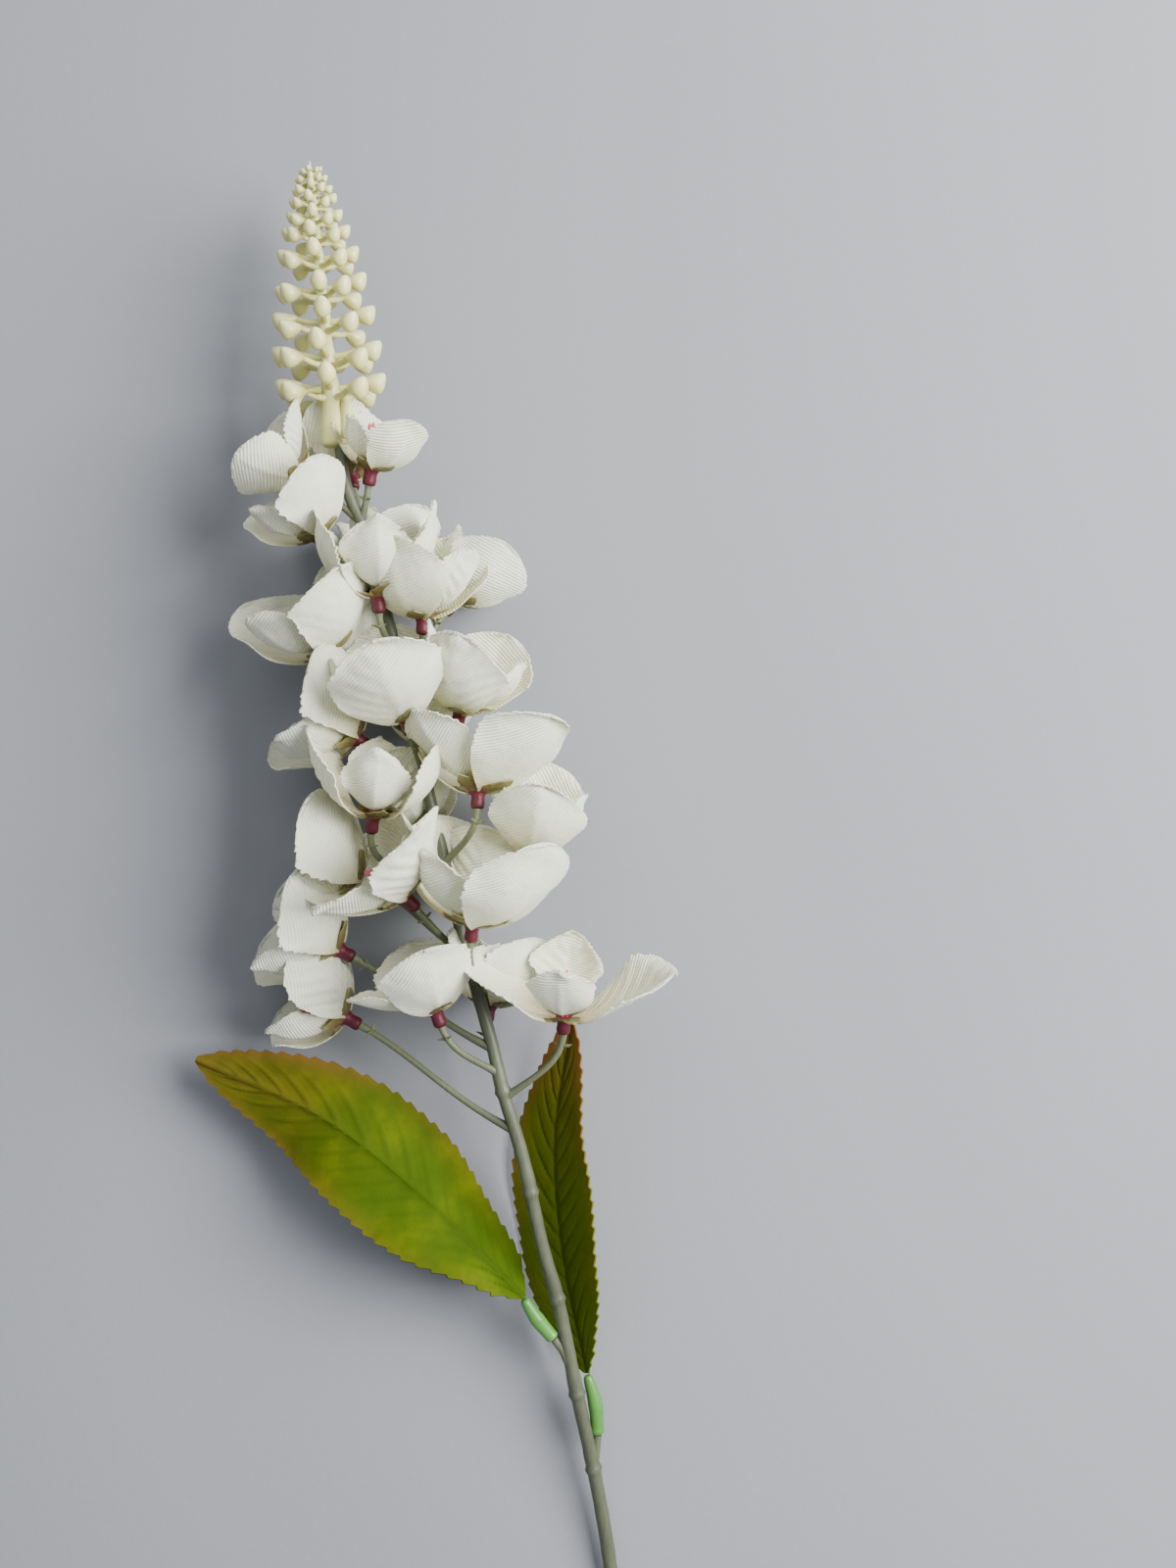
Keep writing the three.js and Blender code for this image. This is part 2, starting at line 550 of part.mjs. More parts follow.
const group = new THREE.Group();
const box = new THREE.Box3();
for (const [name, { body, material }] of pieces) {
  const mesh = new THREE.Mesh(geometryOf(body), material);
  mesh.name = name;
  group.add(mesh);
  box.expandByObject(mesh);
}
const centre = box.getCenter(new THREE.Vector3());
group.position.set(-centre.x, -centre.y, -box.min.z);

export default group;
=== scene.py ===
"""A lupin flower spike of ribbed cloth and moulded plastic, lying on its back on a pale floor."""
import math
import bpy
import numpy as np
from mathutils import Matrix


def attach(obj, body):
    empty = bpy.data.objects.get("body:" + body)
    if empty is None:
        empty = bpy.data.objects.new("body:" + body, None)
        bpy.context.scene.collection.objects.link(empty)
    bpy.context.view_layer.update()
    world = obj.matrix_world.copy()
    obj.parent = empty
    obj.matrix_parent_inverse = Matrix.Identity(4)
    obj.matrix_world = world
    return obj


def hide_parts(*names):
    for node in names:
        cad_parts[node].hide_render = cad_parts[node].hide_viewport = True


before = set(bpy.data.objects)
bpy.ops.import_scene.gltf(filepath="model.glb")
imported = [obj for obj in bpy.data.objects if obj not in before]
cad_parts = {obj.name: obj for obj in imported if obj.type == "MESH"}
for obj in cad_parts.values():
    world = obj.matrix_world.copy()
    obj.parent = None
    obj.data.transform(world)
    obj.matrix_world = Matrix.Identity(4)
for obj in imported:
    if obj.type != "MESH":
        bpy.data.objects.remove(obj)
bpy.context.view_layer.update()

# ------------------------------------------------------------------ stem and pedicels
# One grey green moulding over a wire, with ring joints, a pedicel for each bloom and two stubs
# for the leaves. Each pedicel has a whorl of tiny spurs below the socket that it ends in.

# Points are laid out in millimetres from the foot of the bud tip, at the height of the head's
# axis: x to the right, y up the spike, z towards the viewer. SHIFT takes them to the row frame.
SHIFT = np.array([-22.188, 130.239, 26.0])
METRES = 0.001

# Each bloom, from the top down: its socket's place, tilt from up the spike towards the right,
# rise towards the viewer, turn about its own axis, size, and how far each petal is bent open in
# degrees, from the one that faces the viewer towards the right.
BLOOMS = [
    ((-6.5, -9.5, 0), -58, 5, -24, 0.76, (8, 66, 12, 0)),
    ((7.5, -10.5, 2), 12, 10, 40, 0.7, (12, 5, 8, 12)),
    ((2.5, -10, -7), -15, -25, 0, 0.78, (5, 0, 5, 0)),
    ((-2.5, -27.5, 5), -32, 10, 35, 0.85, (16, 0, 30, 20)),
    ((10, -36, -7), 5, -15, 45, 0.85, (8, 0, 8, 0)),
    ((11, -43.5, 9), -3, 8, 98, 1.08, (-4, 2, -12, 2)),
    ((21.5, -48.5, 4), 1, 8, -26, 1.1, (2, 24, 5, 0)),
    ((0, -57, 3), -30, 8, 42, 1.14, (36, 5, 12, 26)),
    ((26, -42, -8.45), 35, -10, 20, 0.9, (12, 5, 12, 5)),
    ((5, -61, -8), -20, -12, 0, 0.9, (10, 0, 10, 0)),
    ((19, -74, 10), -18, 12, 0, 1.2, (5, 4, 0, 4)),
    ((30, -72, 6), 18, 12, -12, 1.02, (4, 8, 4, 0)),
    ((8, -77, 0), -58, 5, 45, 1.05, (22, 5, 20, 28)),
    ((21, -80, -8.3), 5, -12, 20, 0.9, (8, 0, 8, 0)),
    ((9, -98.5, 9), 8, 10, 95, 1.08, (-6, 2, 14, 2)),
    ((35.6, -92.5, 9), 2, -14, 46, 1.2, (46, 5, 8, 54)),
    ((22, -102, -8), -20, -12, 0, 0.92, (8, 0, 8, 0)),
    ((47.6, -107, 2), 12, 8, 0, 1, (2, 4, 2, 0)),
    ((9, -113, -2), -68, 0, 42, 1.08, (26, 5, 14, 34)),
    ((20.5, -117.5, 10), -41, 11, 41, 1.16, (54, 5, 14, 56)),
    ((34, -125.5, 11), 8, 8, 44, 1.3, (8, 34, 4, 30)),
    ((31, -121, -8.25), 20, -12, 0, 0.92, (8, 0, 8, 0)),
    ((3, -131, -4), -62, 0, 38, 1.06, (30, 5, 16, 26)),
    ((26.5, -147, 8), -20, 4, 12, 0.98, (20, 0, 24, 72)),
    ((57, -149, 6), 3, 16, 88, 1.12, (56, 4, 54, 20)),
    ((37, -148, -8), 10, -12, 45, 0.92, (8, 0, 8, 0)),
    ((4, -149, -8.6), -62, -5, 40, 1, (26, 5, 12, 28)),
]
STEM_ROUTE = [
    (0.1, -0.5, 0), (1.2, -8.8, 0), (3.8, -16.2, 0), (6.2, -21.2, 0), (10.2, -36.2, 0),
    (18.8, -71.8, 0), (27.8, -111.2, 0), (34.2, -136.2, 0), (38.7, -152.6, -0.5),
    (41.5, -164.7, -1), (46.4, -181.9, -3), (51.3, -205.5, -7), (55.3, -220.7, -10),
    (60.4, -247.4, -15.5), (64.8, -268.8, -19.5), (69.3, -296.5, -22.5), (72.5, -333, -24.15),
]
RING_JOINTS = (-164.7, -191.9, -220.7, -247.4, -268.8)  # heights of the joints along the route
STEM_RADII = (1.5, 1.9)  # at the top and at the cut end
RING_RISE, RING_HALF_WIDTH = 0.5, 0.85
PEDICEL_RADIUS = 0.85
SOCKET_GAP = 0.1
SPURS_BELOW_SOCKET = 3.4
SPUR_RADII = [0.42, 0.4, 0.34, 0.26, 0.17, 0.06]
STUBS = [[(54.3, -231.4, -11.7), (56.5, -234.5, -12.6), (58.2, -238, -13.4)],
         [(65.8, -259.2, -18.8), (65.4, -263, -19.1), (64.6, -268.5, -19.6)]]


def unit(vectors):
    """Each vector divided by its length."""
    vectors = np.asarray(vectors, float)
    return vectors / np.maximum(np.linalg.norm(vectors, axis=-1, keepdims=True), 1e-9)


def blend(low, high, share):
    """A straight mix of two values."""
    return low + (high - low) * share


def smooth(low, high, x):
    """0 below low, 1 above high, and an S-shaped cubic between them."""
    t = np.clip((np.asarray(x, float) - low) / (high - low), 0, 1)
    return t * t * (3 - 2 * t)


def draw(i, k, use):
    """A repeatable number from -1 to 1: the fraction of a large sine, stretched."""
    wave = math.sin(i * 12.9898 + k * 78.233 + use * 37.719) * 43758.5453
    return 2 * (wave - math.floor(wave)) - 1


def bloom_frame(tilt, rise, roll):
    """The bloom's three axes as rows: its front turned by roll, the side to its left, its axis."""
    lean, lift, turn = (math.radians(a) for a in (tilt, rise, roll))
    axis = np.array([math.sin(lean) * math.cos(lift), math.cos(lean) * math.cos(lift), math.sin(lift)])
    front = unit(np.array([0.0, 0.0, 1.0]) - axis * axis[2])
    side = np.cross(axis, front)
    return np.stack([front * math.cos(turn) + side * math.sin(turn),
                     side * math.cos(turn) - front * math.sin(turn), axis])


def through(points, samples):
    """A centripetal spline through the points, at evenly spaced distances along it."""
    p = np.asarray(points, float)
    p = np.vstack([2 * p[0] - p[1], p, 2 * p[-1] - p[-2]])
    pieces = []
    for a, b, c, d in zip(p[:-3], p[1:-2], p[2:-1], p[3:]):
        before, here, after = (max(np.linalg.norm(q - r), 1e-6) ** 0.5
                               for q, r in ((b, a), (c, b), (d, c)))
        leave = ((b - a) / before - (c - a) / (before + here) + (c - b) / here) * here
        arrive = ((c - b) / here - (d - b) / (here + after) + (d - c) / after) * here
        t = np.linspace(0, 1, 40, endpoint=False)[:, None]
        pieces.append(b + leave * t + (-3 * b + 3 * c - 2 * leave - arrive) * t ** 2
                      + (2 * b - 2 * c + leave + arrive) * t ** 3)
    line = np.vstack(pieces + [p[-2]])
    gone = np.concatenate([[0], np.cumsum(np.linalg.norm(np.diff(line, axis=0), axis=1))])
    at = np.linspace(0, gone[-1], samples)
    return np.stack([np.interp(at, gone, line[:, axis]) for axis in range(3)], -1)


class Shape:
    """Points, faces and per-point values that together make one mesh."""

    def __init__(self):
        self.points, self.faces, self.values, self.uv = [], [], [], []
        self.count = 0

    def add(self, points, faces, uv=None, **values):
        """Add points in millimetres, arrays of faces that number them from 0, and named fields."""
        points = np.asarray(points, float).reshape(-1, 3)
        self.faces += [np.asarray(f, int) + self.count for f in faces if len(f)]
        self.points.append(points)
        self.uv.append(np.zeros((len(points), 2)) if uv is None else np.asarray(uv, float))
        self.values.append((self.count, len(points), values))
        self.count += len(points)

    def build(self, name, material, slot, *nodes):
        """Make the piece in metres in the row frame, never below the floor, in place of the nodes."""
        points = (np.vstack(self.points) + SHIFT) * METRES
        points[:, 2] = np.maximum(points[:, 2], 0.0)
        mesh = bpy.data.meshes.new(name)
        mesh.vertices.add(len(points))
        mesh.vertices.foreach_set("co", points.astype(np.float32).ravel())
        corners = np.concatenate([f.ravel() for f in self.faces])
        sizes = np.concatenate([np.full(len(f), f.shape[1]) for f in self.faces])
        mesh.loops.add(len(corners))
        mesh.loops.foreach_set("vertex_index", corners.astype(np.int32))
        mesh.polygons.add(len(sizes))
        starts = np.concatenate([[0], np.cumsum(sizes)[:-1]])
        mesh.polygons.foreach_set("loop_start", starts.astype(np.int32))
        mesh.polygons.foreach_set("use_smooth", np.ones(len(sizes), bool))
        mesh.update(calc_edges=True)
        mesh.set_sharp_from_angle(angle=math.radians(48))
        layer = mesh.uv_layers.new(name="cloth")
        layer.data.foreach_set("uv", np.vstack(self.uv)[corners].astype(np.float32).ravel())
        for key in sorted({key for _, _, values in self.values for key in values}):
            field = np.zeros(len(points), np.float32)
            for start, count, values in self.values:
                field[start:start + count] = np.ravel(values.get(key, 0.0))
            mesh.attributes.new(key, "FLOAT", "POINT").data.foreach_set("value", field)
        mesh.materials.append(material)
        piece = bpy.data.objects.new(name, mesh)
        bpy.context.scene.collection.objects.link(piece)
        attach(piece, "root")
        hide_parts(*nodes)


def add_tube(shape, path, radius, sides, **values):
    """A closed tube: rings of the given radii round the path, each square to it, and two end caps."""
    path = np.asarray(path, float)
    count = len(path)
    radius = np.broadcast_to(np.asarray(radius, float), (count,))
    along = unit(np.gradient(path, axis=0))
    side = np.array([0.0, 0.0, 1.0])
    if abs(along[0] @ side) > 0.9:
        side = np.array([1.0, 0.0, 0.0])
    across = np.empty_like(path)
    for n in range(count):
        side = unit(side - along[n] * (along[n] @ side))
        across[n] = side
    third = np.cross(along, across)
    angle = np.linspace(0, 2 * np.pi, sides, endpoint=False)
    rings = (path[:, None]
             + radius[:, None, None] * (np.cos(angle)[None, :, None] * across[:, None]
                                        + np.sin(angle)[None, :, None] * third[:, None]))
    n = np.arange(count * sides).reshape(count, sides)
    m = np.roll(n, -1, axis=1)
    skin = np.stack([n[:-1], m[:-1], m[1:], n[1:]], -1).reshape(-1, 4)
    caps = [n[0, ::-1][None], n[-1][None]]
    length = np.concatenate([[0], np.cumsum(np.linalg.norm(np.diff(path, axis=0), axis=1))])
    uv = np.stack([np.broadcast_to(angle / (2 * np.pi), (count, sides)),
                   np.broadcast_to(length[:, None] / 10, (count, sides))], -1)
    spread = {}
    for key, value in values.items():
        value = np.asarray(value, float)
        spread[key] = np.repeat(value, sides) if value.ndim else value
    shape.add(rings, [skin] + caps, uv.reshape(-1, 2), **spread)


def node(tree, kind, *links, **settings):
    """A new node: a setting with a capital is the value of the input of that name, another is a
    property of the node, and links feed its inputs in order."""
    made = tree.nodes.new(kind)
    for key, value in settings.items():
        if key[0].isupper():
            made.inputs[key].default_value = value
        else:
            setattr(made, key, value)
    for index, source in enumerate(links):
        tree.links.new(source, made.inputs[index])
    return made


def material(name, roughness, specular=0.4):
    """An empty principled material, with its node tree and shader."""
    made = bpy.data.materials.new(name)
    made.use_nodes = True
    shader = made.node_tree.nodes["Principled BSDF"]
    shader.inputs["Roughness"].default_value = roughness
    shader.inputs["Specular IOR Level"].default_value = specular
    return made, made.node_tree, shader


def object_place(tree):
    """Object coordinates, in metres."""
    return node(tree, "ShaderNodeTexCoord").outputs["Object"]


def attribute(tree, name):
    """The value of a per-point field."""
    return node(tree, "ShaderNodeAttribute", attribute_name=name).outputs["Fac"]


def noise(tree, vector, scale, detail=3.0, rough=0.55):
    """Soft noise from 0 to 1 at the given scale, with that many finer octaves."""
    return node(tree, "ShaderNodeTexNoise", vector, Scale=scale, Detail=detail, Roughness=rough).outputs[0]


def mix(tree, factor, first, second, kind="MIX"):
    """A mix of two colours, each a socket or a plain colour."""
    made = node(tree, "ShaderNodeMix", data_type="RGBA", blend_type=kind, clamp_factor=True)
    for index, value in ((0, factor), (6, first), (7, second)):
        if isinstance(value, (int, float)):
            made.inputs[index].default_value = value
        elif isinstance(value, tuple):
            made.inputs[index].default_value = (*value, 1)
        else:
            tree.links.new(value, made.inputs[index])
    return made.outputs[2]


def bump(tree, shader, height, strength, distance, *normal):
    """A bump of the height field into the shader, after another normal where one is given."""
    made = node(tree, "ShaderNodeBump", Strength=strength, Distance=distance)
    tree.links.new(height, made.inputs["Height"])
    for earlier in normal:
        tree.links.new(earlier, made.inputs["Normal"])
    tree.links.new(made.outputs[0], shader.inputs["Normal"])
    return made.outputs[0]


def effect(name, inputs, outputs):
    """An empty node group with the named sockets, its inputs and its outputs."""
    group = bpy.data.node_groups.new(name, "ShaderNodeTree")
    for direction, sockets in (("INPUT", inputs), ("OUTPUT", outputs)):
        for label, kind in sockets.items():
            group.interface.new_socket(label, in_out=direction, socket_type=f"NodeSocket{kind}")
    return group, node(group, "NodeGroupInput").outputs, node(group, "NodeGroupOutput").inputs


# Grain, for every material: a soft noise as a height, and as a tint that runs from dark, below
# the value From, to light, above the value To.
grain_effect, given, result = effect(
    "grain",
    {"Vector": "Vector", "Scale": "Float", "Detail": "Float",
     "From": "Float", "To": "Float", "Dark": "Color", "Light": "Color"},
    {"Tint": "Color", "Height": "Float"})
height = noise(grain_effect, given["Vector"], 1)
grain_effect.links.new(given["Scale"], height.node.inputs["Scale"])
grain_effect.links.new(given["Detail"], height.node.inputs["Detail"])
share = node(grain_effect, "ShaderNodeMapRange", height, given["From"], given["To"], clamp=True)
tint = mix(grain_effect, share.outputs[0], given["Dark"], given["Light"])
grain_effect.links.new(tint, result["Tint"])
grain_effect.links.new(height, result["Height"])

WHITE = (1.0, 1.0, 1.0)


def grain(tree, place, scale, detail, low=0.3, dark=WHITE, high=0.7, light=WHITE):
    """The grain effect placed in a material: its tint and its height."""
    made = node(tree, "ShaderNodeGroup", place, node_tree=grain_effect, Scale=scale, Detail=detail,
                From=low, To=high, Dark=(*dark, 1), Light=(*light, 1))
    return made.outputs["Tint"], made.outputs["Height"]


# Stem plastic: grey green, a little shiny, streaked along, fresher towards the sockets.
stem_plastic, tree, shader = material("stem_plastic", 0.42, 0.35)
place = object_place(tree)
drawn_out = node(tree, "ShaderNodeMapping", place, Scale=(1, 0.12, 1)).outputs[0]
streaks, streak_height = grain(tree, drawn_out, 1500, 4, 0.2, (0.78, 0.78, 0.78), 0.8, (1.12, 1.12, 1.1))
old, _ = grain(tree, place, 70, 4, 0.3, (0.07, 0.08, 0.05), 0.7, (0.105, 0.117, 0.075))
green = mix(tree, attribute(tree, "age"), old, (0.15, 0.17, 0.09))
tree.links.new(mix(tree, 1.0, green, streaks, "MULTIPLY"), shader.inputs["Base Color"])
bump(tree, shader, streak_height, 0.35, 0.00025)

# The stem itself: a tube along its route with a ring and a soft swelling at each joint.
stem_line = through(STEM_ROUTE, 421)
stem_t = np.linspace(0, 1, len(stem_line))
stem_along = unit(np.gradient(stem_line, axis=0))
stem_length = np.linalg.norm(np.diff(stem_line, axis=0), axis=1).sum()
radius = blend(*STEM_RADII, stem_t)
for y in RING_JOINTS:
    away = (stem_t - stem_t[np.argmin(np.abs(stem_line[:, 1] - y))]) * stem_length
    radius = radius + RING_RISE * np.exp(-(np.abs(away) / RING_HALF_WIDTH) ** 3)
    radius = radius + 0.16 * np.exp(-((away + 3) / 2.5) ** 2)
radius = radius + 0.04 * np.sin(stem_line[:, 1] * 0.9) * np.sin(stem_line[:, 1] * 0.23)
shape = Shape()
add_tube(shape, stem_line, radius, 22, age=np.zeros(len(stem_line)))

# Each pedicel leaves the stem below its bloom and bends into the bloom's own axis: a cubic curve
# with four legs.
for i, (socket, tilt, rise, roll, *_) in enumerate(BLOOMS):
    front, left, axis = bloom_frame(tilt, rise, roll)
    end = np.array(socket, float) - SOCKET_GAP * axis
    level = stem_line[np.argmin(np.abs(stem_line[:, 1] - end[1]))]
    away = np.linalg.norm(end - level)
    n = np.argmin(np.abs(stem_line[:, 1] - (end[1] - 5 - 0.6 * away)))
    start = stem_line[n]
    reach = np.linalg.norm(end - start)
    leave = unit(unit(end - start) + 0.2 * stem_along[n])
    t = np.linspace(0, 1, 36)[:, None]
    legs = (start, start + leave * 0.4 * reach, end - axis * 0.35 * reach, end)
    path = ((1 - t) ** 3 * legs[0] + 3 * t * (1 - t) ** 2 * legs[1]
            + 3 * t ** 2 * (1 - t) * legs[2] + t ** 3 * legs[3])
    t = t[:, 0]
    add_tube(shape, path, PEDICEL_RADIUS + 0.55 * np.exp(-t / 0.1) + 0.2 * smooth(0.93, 1, t), 12,
             age=blend(0.15, 0.8, t))
    spurs = end - axis * SPURS_BELOW_SOCKET
    steps = np.linspace(0, 1, len(SPUR_RADII))[:, None]
    for k in range(4):
        spin = k * np.pi / 2 + draw(i, k, 24)
        direction = unit(front * math.cos(spin) + left * math.sin(spin) + axis * 0.25)
        add_tube(shape, spurs + direction * (0.3 + 2.2 * steps), SPUR_RADII, 7,
                 age=np.full(len(SPUR_RADII), 0.9))
for stub in STUBS:
    add_tube(shape, through(stub, 20), np.interp(np.linspace(0, 1, 20), [0, 0.5, 1], [1.1, 1.2, 1.4]),
             14, age=np.full(20, 0.2))
shape.build("stem_and_pedicels", stem_plastic, "stem", "stem")

# ------------------------------------------------------------------ petals
# The four petals of each bloom, heat-formed from a ribbed white cloth with frayed cut edges. The
# broad outer pair stands outside the narrower inner pair, all fixed on one small ring.
FLOOR = -SHIFT[2]  # the floor's height in the millimetres of the points
PAIRS = [(24, 12.2, -1), (21.5, 9.2, 1)]  # length, half width, side: outer pair, then inner
CLOTH = 0.34
PETAL_FOOT, PETAL_FOOT_HEIGHT = 1.9, 5.4  # from the bloom's axis, and up it
FOOT_ANGLE, CLOSED_ANGLE = 12, 108  # slope at the foot and at the tip, degrees
CUP = 13  # radius of the curve across
PAIR_STEP, PAIR_FLARE = 0.85, 0.8  # from one pair to the other, at the middle and more at the sides
FRAY, TIP_NOTCH = 0.5, 0.012  # ragged cut: at the sides, and at the tip as a share of the length
RIM_WAVE, LUMP, FOLD, VEIN = 0.55, 0.35, 0.25, 0.26
PRESSED = 0.2  # middle of the cloth above the floor where a petal lies on it
ROWS, COLUMNS = 46, 37


def grid_quads(rows, columns, start=0):
    """Quads over a grid of points numbered row by row."""
    n = start + np.arange(rows * columns).reshape(rows, columns)
    return np.stack([n[:-1, :-1], n[:-1, 1:], n[1:, 1:], n[1:, :-1]], -1).reshape(-1, 4)


def surface_normal(middle):
    """The unit normal of a grid of points: the cross product of its two directions."""
    return unit(np.cross(np.gradient(middle, axis=0), np.gradient(middle, axis=1)))


def add_sheet(shape, middle, up, thickness, uv, **values):
    """A closed sheet: two copies of the middle surface, half the thickness up and down, and a rim."""
    rows, columns = middle.shape[:2]
    half = np.asarray(thickness, float)[..., None] / 2 if np.ndim(thickness) else thickness / 2
    points = np.concatenate([(middle + up * half).reshape(-1, 3), (middle - up * half).reshape(-1, 3)])
    count = rows * columns
    n = np.arange(count).reshape(rows, columns)
    rim = np.concatenate([n[0, :-1], n[:-1, -1], n[-1, :0:-1], n[:0:-1, 0]])
    after = np.roll(rim, -1)
    faces = [
        grid_quads(rows, columns),
        grid_quads(rows, columns, count)[:, ::-1],
        np.stack([after, rim, rim + count, after + count], -1),
    ]
    both = {key: np.concatenate([np.ravel(v), np.ravel(v)]) for key, v in values.items()}
    both["face"] = np.concatenate([np.ones(count), np.zeros(count)])
    uv = np.asarray(uv).reshape(-1, 2)
    shape.add(points, faces, np.vstack([uv, uv]), **both)


def petal_arc(i, k, u):
    """The middle line of a petal, an arc of a circle: its distance out, its height and its slope at
    u from 0 to 1, and its length."""
    length, _, side = PAIRS[k % 2]
    *_, size, opening = BLOOMS[i]
    length = length * size * (1 + 0.06 * draw(i, k, 1))
    start = math.radians(FOOT_ANGLE)
    end = math.radians(CLOSED_ANGLE - opening[k] + side * 5 * abs(draw(i, k, 2)))
    slope = blend(start, end, u)
    bend = end - start
    out = PETAL_FOOT + length * (np.sin(slope) - math.sin(start)) / bend
    high = PETAL_FOOT_HEIGHT + length * (math.cos(start) - np.cos(slope)) / bend
    return out, high, slope, length


def turned(points, angle):
    """Points turned about the bloom's axis."""
    c, s = math.cos(angle), math.sin(angle)
    return points @ np.array([[c, s, 0], [-s, c, 0], [0, 0, 1]])


def maths(tree, operation, a, b, c=None, clamp=False):
    """One arithmetic step on sockets or numbers."""
    made = node(tree, "ShaderNodeMath", operation=operation, use_clamp=clamp)
    for index, value in enumerate((a, b) if c is None else (a, b, c)):
        if isinstance(value, (int, float)):
            made.inputs[index].default_value = value
        else:
            tree.links.new(value, made.inputs[index])
    return made.outputs[0]


def ramp(tree, factor, stops):
    """A colour ramp with the given stops: place, colour."""
    made = node(tree, "ShaderNodeValToRGB", factor)
    elements = made.color_ramp.elements
    while len(elements) > 1:
        elements.remove(elements[-1])
    for index, (place, color) in enumerate(stops):
        element = elements[0] if index == 0 else elements.new(place)
        element.position = place
        element.color = (*color, 1)
    return made.outputs["Color"]


# Woven rib, for both cloths: wavy bands along the first direction of the cloth's own map.
rib_effect, given, result = effect(
    "woven_rib",
    {"Vector": "Vector", "Scale": "Float", "Waver": "Float", "Detail": "Float", "Spread": "Float"},
    {"Rib": "Float"})
bands = node(rib_effect, "ShaderNodeTexWave", given["Vector"],
             wave_type="BANDS", bands_direction="X", wave_profile="SIN")
for label, name in (("Scale", "Scale"), ("Waver", "Distortion"), ("Detail", "Detail"),
                    ("Spread", "Detail Scale")):
    rib_effect.links.new(given[label], bands.inputs[name])
rib_effect.links.new(bands.outputs["Fac"], result["Rib"])


def rib(tree, cloth_map, **values):
    """The woven rib effect placed in a material."""
    return node(tree, "ShaderNodeGroup", cloth_map, node_tree=rib_effect, **values).outputs["Rib"]


# Petal cloth: white outside and creamier inside, with a fine diagonal rib that is worn in places,
# and an olive stain that runs up from the foot in streaks. Painted shade greys the outside towards
# the tip and darkens the grooves between the ribs.
petal_cloth, tree, shader = material("petal_cloth", 0.8, 0.3)
shader.inputs["Sheen Weight"].default_value = 0.1
shader.inputs["Sheen Roughness"].default_value = 0.5
shader.inputs["Subsurface Weight"].default_value = 0.4
shader.inputs["Subsurface Radius"].default_value = (1.0, 0.92, 0.66)
shader.inputs["Subsurface Scale"].default_value = 0.002
place = object_place(tree)
cloth_map = node(tree, "ShaderNodeUVMap", uv_map="cloth").outputs[0]
drawn_out = node(tree, "ShaderNodeMapping", cloth_map, Scale=(5.0, 0.7, 1.0)).outputs[0]
streak = maths(tree, "SUBTRACT", noise(tree, drawn_out, 3.0, 4), 0.5)
along = maths(tree, "MULTIPLY_ADD", streak, -0.16, attribute(tree, "along"))
# Painted shade: the outside's last stop, at the tip, is greyer, where the cup curves away from the light.
outside = ramp(tree, along, [(0.0, (0.22, 0.19, 0.075)), (0.05, (0.36, 0.33, 0.16)),
                             (0.13, (0.61, 0.6, 0.37)), (0.24, (0.77, 0.785, 0.59)),
                             (0.5, (0.83, 0.86, 0.69)), (0.75, (0.82, 0.85, 0.69)),
                             (1.0, (0.71, 0.74, 0.6))])
inside = ramp(tree, along, [(0.0, (0.5, 0.42, 0.16)), (0.15, (0.74, 0.68, 0.38)),
                            (0.45, (0.87, 0.865, 0.6)), (1.0, (0.87, 0.88, 0.68))])
both = mix(tree, attribute(tree, "face"), outside, inside)
cream = mix(tree, maths(tree, "MULTIPLY", attribute(tree, "tone"), 0.5), both, (0.84, 0.83, 0.6))
blotch, _ = grain(tree, place, 160, 4, dark=(0.94, 0.945, 0.94))
worn, _ = grain(tree, place, 55, 2, 0.38, (0.25, 0.25, 0.25), 0.62)
ribs = rib(tree, cloth_map, Scale=3.9, Waver=0.35, Detail=1, Spread=0.6)
# Painted shade in the grooves between the ribs: they are painted a little darker, less so where the rib is
# worn.
groove_shade = mix(tree, worn, WHITE, ramp(tree, ribs, [(0.0, (0.85, 0.855, 0.84)), (0.5, WHITE)]))
tint = mix(tree, 1.0, mix(tree, 1.0, cream, blotch, "MULTIPLY"), groove_shade, "MULTIPLY")
tree.links.new(tint, shader.inputs["Base Color"])
fibre = noise(tree, cloth_map, 22, 5, 0.65)
weave = maths(tree, "ADD", maths(tree, "MULTIPLY", ribs, 0.8), maths(tree, "MULTIPLY", fibre, 0.5))
_, soft = grain(tree, place, 380, 3)
bump(tree, shader, weave, 0.7, 0.0003, bump(tree, shader, soft, 0.4, 0.0008))

